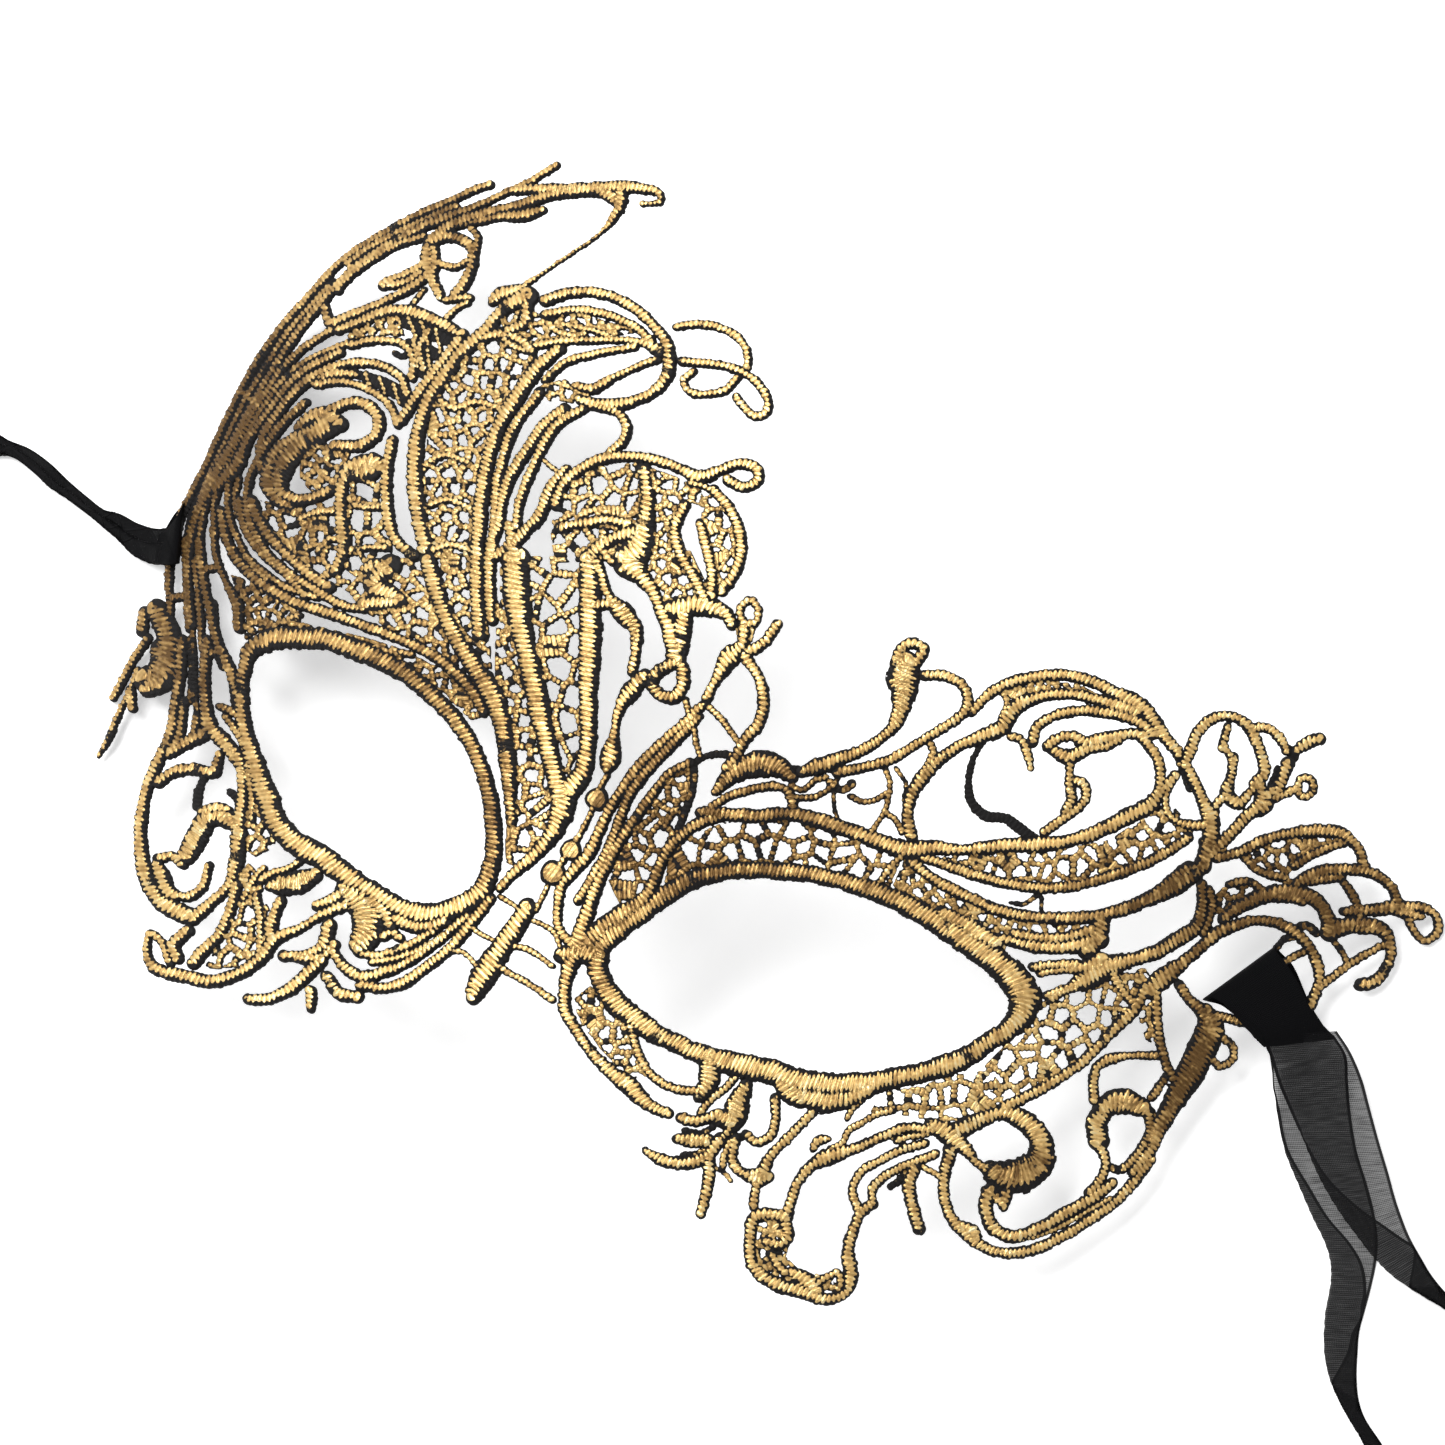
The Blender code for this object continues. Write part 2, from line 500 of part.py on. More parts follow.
motifs = read_motifs(MOTIFS)
built = []
laid = []
for name, strokes in motifs.items():
    own = cover(strokes)
    box = [min(q[0] for p in own for q in p), min(q[1] for p in own for q in p),
           max(q[0] for p in own for q in p), max(q[1] for p in own for q in p)]
    cut = [p for p in laid if near(p, box)]
    flat, tris = flat_sheet(own, cut)
    centre, normal = on_shell(flat)
    verts, faces = plate(centre @ LEAN.T, normal @ LEAN.T, tris, THICK)
    built.append((name, verts, faces))
    laid += cover(strokes, GAP)

# the mask stands on the table, and its box is centred on the origin
low = np.min([v.min(axis=0) for _, v, _ in built], axis=0)
high = np.max([v.max(axis=0) for _, v, _ in built], axis=0)
SHIFT = np.array([-(low[0] + high[0]) / 2, -(low[1] + high[1]) / 2, -low[2]])
for name, verts, faces in built:
    make(name, verts + SHIFT, faces)
print("SHIFT", SHIFT.round(3), "size", (high - low).round(2))


# ---- the ribbon ties: each is one ribbon folded in half, hitched round a bar of the lace --------------
# Both tails lie on the table and the spare length of each is rolled up at its end.
RIBBON_W, RIBBON_T = 11.5, 0.4     # tail width and thickness
ROLL_R = 6.2                       # outer radius of a rolled tail end
EYE_W = EYE @ LEAN.T + SHIFT


def on_level(x, y, h):
    """The point h above the table that lies under drafting point x, y."""
    d = rays([(x, y)])[0] @ LEAN.T
    return EYE_W + (h - EYE_W[2]) / d[2] * d


def unit(v):
    v = np.asarray(v, float)
    return v / np.linalg.norm(v)


def band_body(stations):
    """A closed flat band through stations of (centre, side vector, half width, normal, half thickness)."""
    verts, faces = [], []
    for c, s, w, n, t in stations:
        verts += [c - s * w - n * t, c + s * w - n * t, c + s * w + n * t, c - s * w + n * t]
    for i in range(len(stations) - 1):
        a, b = 4 * i, 4 * i + 4
        for k in range(4):
            j = (k + 1) % 4
            faces.append((a + k, a + j, b + j, b + k))
    e = 4 * (len(stations) - 1)
    faces += [(0, 3, 2, 1), (e, e + 1, e + 2, e + 3)]
    return verts, faces


def facing_out(verts, faces):
    """The same faces, turned so that the solid's volume is positive."""
    v = np.array([np.asarray(p, float) for p in verts])
    total = sum(np.dot(v[f[0]], np.cross(v[f[k]], v[f[k + 1]])) for f in faces for k in range(1, len(f) - 1))
    return v, (faces if total > 0 else [tuple(reversed(f)) for f in faces])


def tail(name, route, width, thick=RIBBON_T):
    """route: drafting x, y and height, read as a smooth line; width: one value for each route point."""
    pts = np.array([on_level(*r) for r in route])
    fine, wide = [], []
    n = len(pts)
    for i in range(n - 1):
        p0, p1, p2, p3 = pts[max(i - 1, 0)], pts[i], pts[i + 1], pts[min(i + 2, n - 1)]
        for t in np.linspace(0, 1, 4)[:-1]:
            fine.append(0.5 * (2 * p1 + (p2 - p0) * t + (2 * p0 - 5 * p1 + 4 * p2 - p3) * t**2 + (3 * p1 - p0 - 3 * p2 + p3) * t**3))
            wide.append(width[i] * (1 - t) + width[i + 1] * t)
    fine.append(pts[-1])
    wide.append(width[-1])
    stations = []
    for i, p in enumerate(fine):
        d = unit(fine[min(i + 1, len(fine) - 1)] - fine[max(i - 1, 0)])
        s = unit(np.cross([0, 0, 1.0], d))
        stations.append((p, s, wide[i] / 2, unit(np.cross(d, s)), thick / 2))
    verts, faces = facing_out(*band_body(stations))
    make(name, verts, faces)
    return fine


def roll(name, end, before, width=RIBBON_W):
    """The rolled end of a tail: a short drum that lies on its side just past the tail's end."""
    d = unit((end - before) * [1, 1, 0])
    axis = np.cross([0, 0, 1.0], d)
    centre = np.array([end[0], end[1], 0]) + d * (ROLL_R + 0.6) + [0, 0, ROLL_R + 0.05]
    sides = 20
    verts, faces = [], []
    for half in (-width / 2, width / 2):
        for k in range(sides):
            a = 2 * math.pi * k / sides
            verts.append(centre + axis * half + ROLL_R * (math.cos(a) * d + math.sin(a) * np.array([0, 0, 1.0])))
    for k in range(sides):
        j = (k + 1) % sides
        faces.append((k, j, sides + j, sides + k))
    faces += [tuple(reversed(range(sides))), tuple(range(sides, 2 * sides))]
    verts, faces = facing_out(verts, faces)
    make(name, verts, faces)


def hitch(name, bar, along, out, inner, wall, span):
    """A flat loop of ribbon round a bar: bar is the bar's middle, along its direction, out the way outwards.
    inner holds how far the loop's hollow reaches inwards, outwards and to each face."""
    t = unit(along)
    o = unit(np.asarray(out, float) - t * np.dot(out, t))
    n = np.cross(t, o)
    lo, hi, half = -inner[0], inner[1], inner[2]
    inside = [(lo, -half), (hi, -half), (hi, half), (lo, half)]
    outside = [(lo - wall, -half - wall), (hi + wall, -half - wall), (hi + wall, half + wall), (lo - wall, half + wall)]
    verts, faces = [], []
    for end in (-span / 2, span / 2):
        for loop in (inside, outside):
            verts += [np.asarray(bar) + t * end + o * a + n * b for a, b in loop]
    for k in range(4):
        j = (k + 1) % 4
        faces += [(k, 8 + k, 8 + j, j), (4 + k, 4 + j, 12 + j, 12 + k),
                  (k, j, 4 + j, 4 + k), (8 + k, 12 + k, 12 + j, 8 + j)]
    verts, faces = facing_out(verts, faces)
    make(name, verts, faces)


def swing_of(low, top):
    """Where two tails leave their hitch, and the level axis that lifts them off the table."""
    pivot = (low[0] + top[0]) / 2
    away = unit((low[4] + top[4] - low[0] - top[0]) * [1, 1, 0])
    return pivot, np.cross(away, [0, 0, 1.0])


def bar_frame(a, b):
    """Middle of a straight bar of the lace between two drafting points, its direction and the outward normal there."""
    q, n = on_shell([a, b])
    q, n = q @ LEAN.T + SHIFT, n @ LEAN.T
    return q.mean(axis=0), unit(q[1] - q[0]), unit(n.sum(axis=0))


# right tie: round the bar below the outer fan
bar, along, face = bar_frame((1238, 1022), (1292, 1021))
out = np.cross(along, face)
out = out if out[1] < 0 else -out
hitch("right_ribbon_hitch", bar, along, out, (5.0, 1.4, 1.3), 0.5, 8.0)
low_tail = [(1297, 1062, 3.4), (1308, 1085, 1.6), (1312, 1105, 0.4), (1319, 1150, 0.4), (1342, 1220, 0.4), (1350, 1262, 0.4),
            (1346, 1300, 0.4), (1340, 1345, 0.4), (1348, 1400, 0.4), (1369, 1445, 0.4), (1395, 1500, 0.4), (1412, 1545, 0.4)]
low = tail("right_ribbon_tail_a", low_tail, [8, 11, 11.5, 11.5, 11, 9, 8, 7, 6, 8, 11, 11.5])
roll("right_ribbon_roll_a", low[-1], low[-4])
top_tail = [(1300, 1058, 5.0), (1316, 1082, 3.0), (1327, 1104, 1.5), (1341, 1150, 1.2), (1360, 1200, 1.2), (1381, 1240, 1.2), (1408, 1275, 1.2),
            (1445, 1306, 1.2), (1480, 1325, 1.0), (1520, 1340, 0.5)]
top = tail("right_ribbon_tail_b", top_tail, [8, 11, 11.5, 11.5, 11, 9, 7, 7, 10, 11.5])
roll("right_ribbon_roll_b", top[-1], top[-4])
RIGHT_PIVOT, RIGHT_AXIS = swing_of(low, top)

# left tie: round the outermost cord of the lace
bar, along, face = bar_frame((175.5, 541), (181, 522))
out = np.cross(along, face)
out = out if out[0] < 0 else -out
hitch("left_ribbon_hitch", bar, along, out, (1.35, 1.35, 0.92), 0.28, 3.6)
low_tail = [(140, 548, 1.6), (122, 530, 0.4), (100, 514, 0.4), (60, 478, 0.4), (25, 458, 0.4), (-10, 442, 0.4), (-50, 420, 0.4), (-88, 392, 0.4)]
low = tail("left_ribbon_tail_a", low_tail, [4, 4.5, 4.5, 5, 5, 6, 9, 11.5])
roll("left_ribbon_roll_a", low[-1], low[-4])
top_tail = [(140, 544, 2.8), (120, 524, 1.5), (98, 508, 1.2), (60, 475, 1.2), (25, 456, 1.2), (-10, 448, 1.2), (-50, 462, 1.0), (-92, 490, 0.5)]
top = tail("left_ribbon_tail_b", top_tail, [4, 4.5, 4.5, 5, 5, 6, 9, 11.5])
roll("left_ribbon_roll_b", top[-1], top[-4])
LEFT_PIVOT, LEFT_AXIS = swing_of(low, top)

# ---- colours, and the axis each ribbon's tails swing on where they leave the hitch --------------------


def finish(name, colour, roughness, metallic):
    mat = bpy.data.materials.new(name)
    mat.use_nodes = True
    bsdf = next(n for n in mat.node_tree.nodes if n.type == "BSDF_PRINCIPLED")
    bsdf.inputs["Base Color"].default_value = (*colour, 1.0)
    bsdf.inputs["Roughness"].default_value = roughness
    bsdf.inputs["Metallic"].default_value = metallic
    return mat


GOLD = finish("gold_embroidery", (0.55, 0.38, 0.17), 0.38, 0.7)
BLACK = finish("black_organza", (0.012, 0.012, 0.014), 0.6, 0.0)


def empty_at(name, where, along):
    obj = bpy.data.objects.new(name, None)
    obj.location = tuple(np.asarray(where) / 1000.0)
    obj.rotation_euler = Vector(tuple(along)).to_track_quat("Z", "Y").to_euler()
    bpy.context.collection.objects.link(obj)
    return obj


swings = {"right": empty_at("right_ribbon_swing", RIGHT_PIVOT, RIGHT_AXIS),
          "left": empty_at("left_ribbon_swing", LEFT_PIVOT, LEFT_AXIS)}
bpy.context.view_layer.update()
for obj in list(bpy.data.objects):
    if obj.type != "MESH":
        continue
    obj.data.materials.append(BLACK if "ribbon" in obj.name else GOLD)
    if "ribbon_tail" in obj.name or "ribbon_roll" in obj.name:
        pivot = swings[obj.name.split("_")[0]]
        obj.parent = pivot
        obj.matrix_parent_inverse = pivot.matrix_world.inverted()
print("RIGHT", RIGHT_PIVOT.round(3), RIGHT_AXIS.round(5), "LEFT", LEFT_PIVOT.round(3), LEFT_AXIS.round(5))
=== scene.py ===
"""Looks of the Venetian lace masquerade mask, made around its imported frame.

The lace is drawn on a flat drafting sheet (x right, y down, 0.15 mm per unit) as satin-stitch cords and a
knobbly net, worked up into a relief there, and laid over the curved shell, one piece for each motif.
The ribbons are thin cloth strips with real folds, rolled up at their free ends.
"""
import math

import bpy
import numpy as np
from mathutils import Matrix, Vector


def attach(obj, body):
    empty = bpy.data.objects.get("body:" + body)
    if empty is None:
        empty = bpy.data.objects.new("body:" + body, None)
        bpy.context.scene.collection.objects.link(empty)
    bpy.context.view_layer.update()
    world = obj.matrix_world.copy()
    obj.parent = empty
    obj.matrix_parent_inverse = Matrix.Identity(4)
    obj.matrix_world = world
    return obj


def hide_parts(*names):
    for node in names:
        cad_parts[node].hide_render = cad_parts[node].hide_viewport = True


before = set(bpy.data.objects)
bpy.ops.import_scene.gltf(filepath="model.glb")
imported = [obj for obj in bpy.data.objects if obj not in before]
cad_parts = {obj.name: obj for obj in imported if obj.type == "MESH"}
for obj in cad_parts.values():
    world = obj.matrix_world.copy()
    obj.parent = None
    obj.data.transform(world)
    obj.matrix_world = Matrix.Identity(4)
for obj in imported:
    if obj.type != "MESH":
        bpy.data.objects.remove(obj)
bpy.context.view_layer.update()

# ---- the shell, with the same numbers as part.py -----------------------------------------------------
UNIT = 0.15
SIGHT = 800.0
TURN, NOD, ROLL = math.radians(21.0), math.radians(-1.8), math.radians(26.6)
MIDDLE = (543.0, 914.0)
RIDGE, NOSE_R = 0.28, 23.0
WRAP, WRAP_END = 0.10, 0.80
LEAN_X, LEAN_Y = math.radians(5.5774), math.radians(-1.1643)
SHIFT = np.array([-8.148444, -37.943889, 31.018917])

SIGHT_AXIS = np.array([math.sin(TURN) * math.cos(NOD), math.sin(NOD), math.cos(TURN) * math.cos(NOD)])
_side = np.cross([0.0, 1.0, 0.0], SIGHT_AXIS)
_side /= np.linalg.norm(_side)
_up = np.cross(SIGHT_AXIS, _side)
SHEET_RIGHT = math.cos(ROLL) * _side + math.sin(ROLL) * _up
SHEET_UP = -math.sin(ROLL) * _side + math.cos(ROLL) * _up
EYE = SIGHT_AXIS * SIGHT
_cx, _sx, _cy, _sy = math.cos(LEAN_X), math.sin(LEAN_X), math.cos(LEAN_Y), math.sin(LEAN_Y)
LEAN = np.array([[_cy, 0, _sy], [0, 1, 0], [-_sy, 0, _cy]]) @ np.array([[1, 0, 0], [0, _cx, -_sx], [0, _sx, _cx]])
EYE_W = EYE @ LEAN.T + SHIFT


def shell_z(x):
    t = np.abs(x) / 100.0
    wrap = np.where(t < WRAP_END, t**3, WRAP_END**3 + 3 * WRAP_END**2 * (t - WRAP_END))
    return -RIDGE * (np.sqrt(x * x + NOSE_R**2) - NOSE_R) - WRAP * 100.0 * wrap


def shell_slope(x):
    t = np.minimum(np.abs(x) / 100.0, WRAP_END)
    return -RIDGE * x / np.sqrt(x * x + NOSE_R**2) - WRAP * 3 * t**2 * np.sign(x)


def rays(points):
    p = np.asarray(points, float)
    a = (p[:, 0] - MIDDLE[0]) * UNIT
    b = -(p[:, 1] - MIDDLE[1]) * UNIT
    return a[:, None] * SHEET_RIGHT + b[:, None] * SHEET_UP - EYE


def on_shell(points):
    """Drafting points to world points on the shell and outward normals, in mm."""
    d = rays(points)
    k = np.ones(len(d))
    for _ in range(14):
        x = EYE[0] + k * d[:, 0]
        z = EYE[2] + k * d[:, 2]
        k = k - (z - shell_z(x)) / (d[:, 2] - shell_slope(x) * d[:, 0])
    q = EYE + k[:, None] * d
    n = np.stack([-shell_slope(q[:, 0]), np.zeros(len(q)), np.ones(len(q))], axis=1)
    n /= np.linalg.norm(n, axis=1)[:, None]
    return q @ LEAN.T + SHIFT, n @ LEAN.T


def on_level(x, y, h):
    d = rays([(x, y)])[0] @ LEAN.T
    return EYE_W + (h - EYE_W[2]) / d[2] * d


def unit(v):
    v = np.asarray(v, float)
    return v / np.linalg.norm(v)


# ---- camera -----------------------------------------------------------------------------------------
aim = unit(rays([(722.5, 722.5)])[0] @ LEAN.T)
right = SHEET_RIGHT @ LEAN.T
right = unit(right - aim * np.dot(right, aim))
up = np.cross(right, aim)
cam_data = bpy.data.cameras.new("camera")
cam = bpy.data.objects.new("camera", cam_data)
bpy.context.collection.objects.link(cam)
cam_data.sensor_width = 36.0
cam_data.lens = 36.0 * np.linalg.norm(rays([(722.5, 722.5)])[0]) / (1445 * UNIT)
cam_data.clip_start, cam_data.clip_end = 0.05, 10.0
cam.matrix_world = Matrix([[right[0], up[0], -aim[0], EYE_W[0] / 1000],
                           [right[1], up[1], -aim[1], EYE_W[1] / 1000],
                           [right[2], up[2], -aim[2], EYE_W[2] / 1000],
                           [0, 0, 0, 1]])
bpy.context.scene.camera = cam

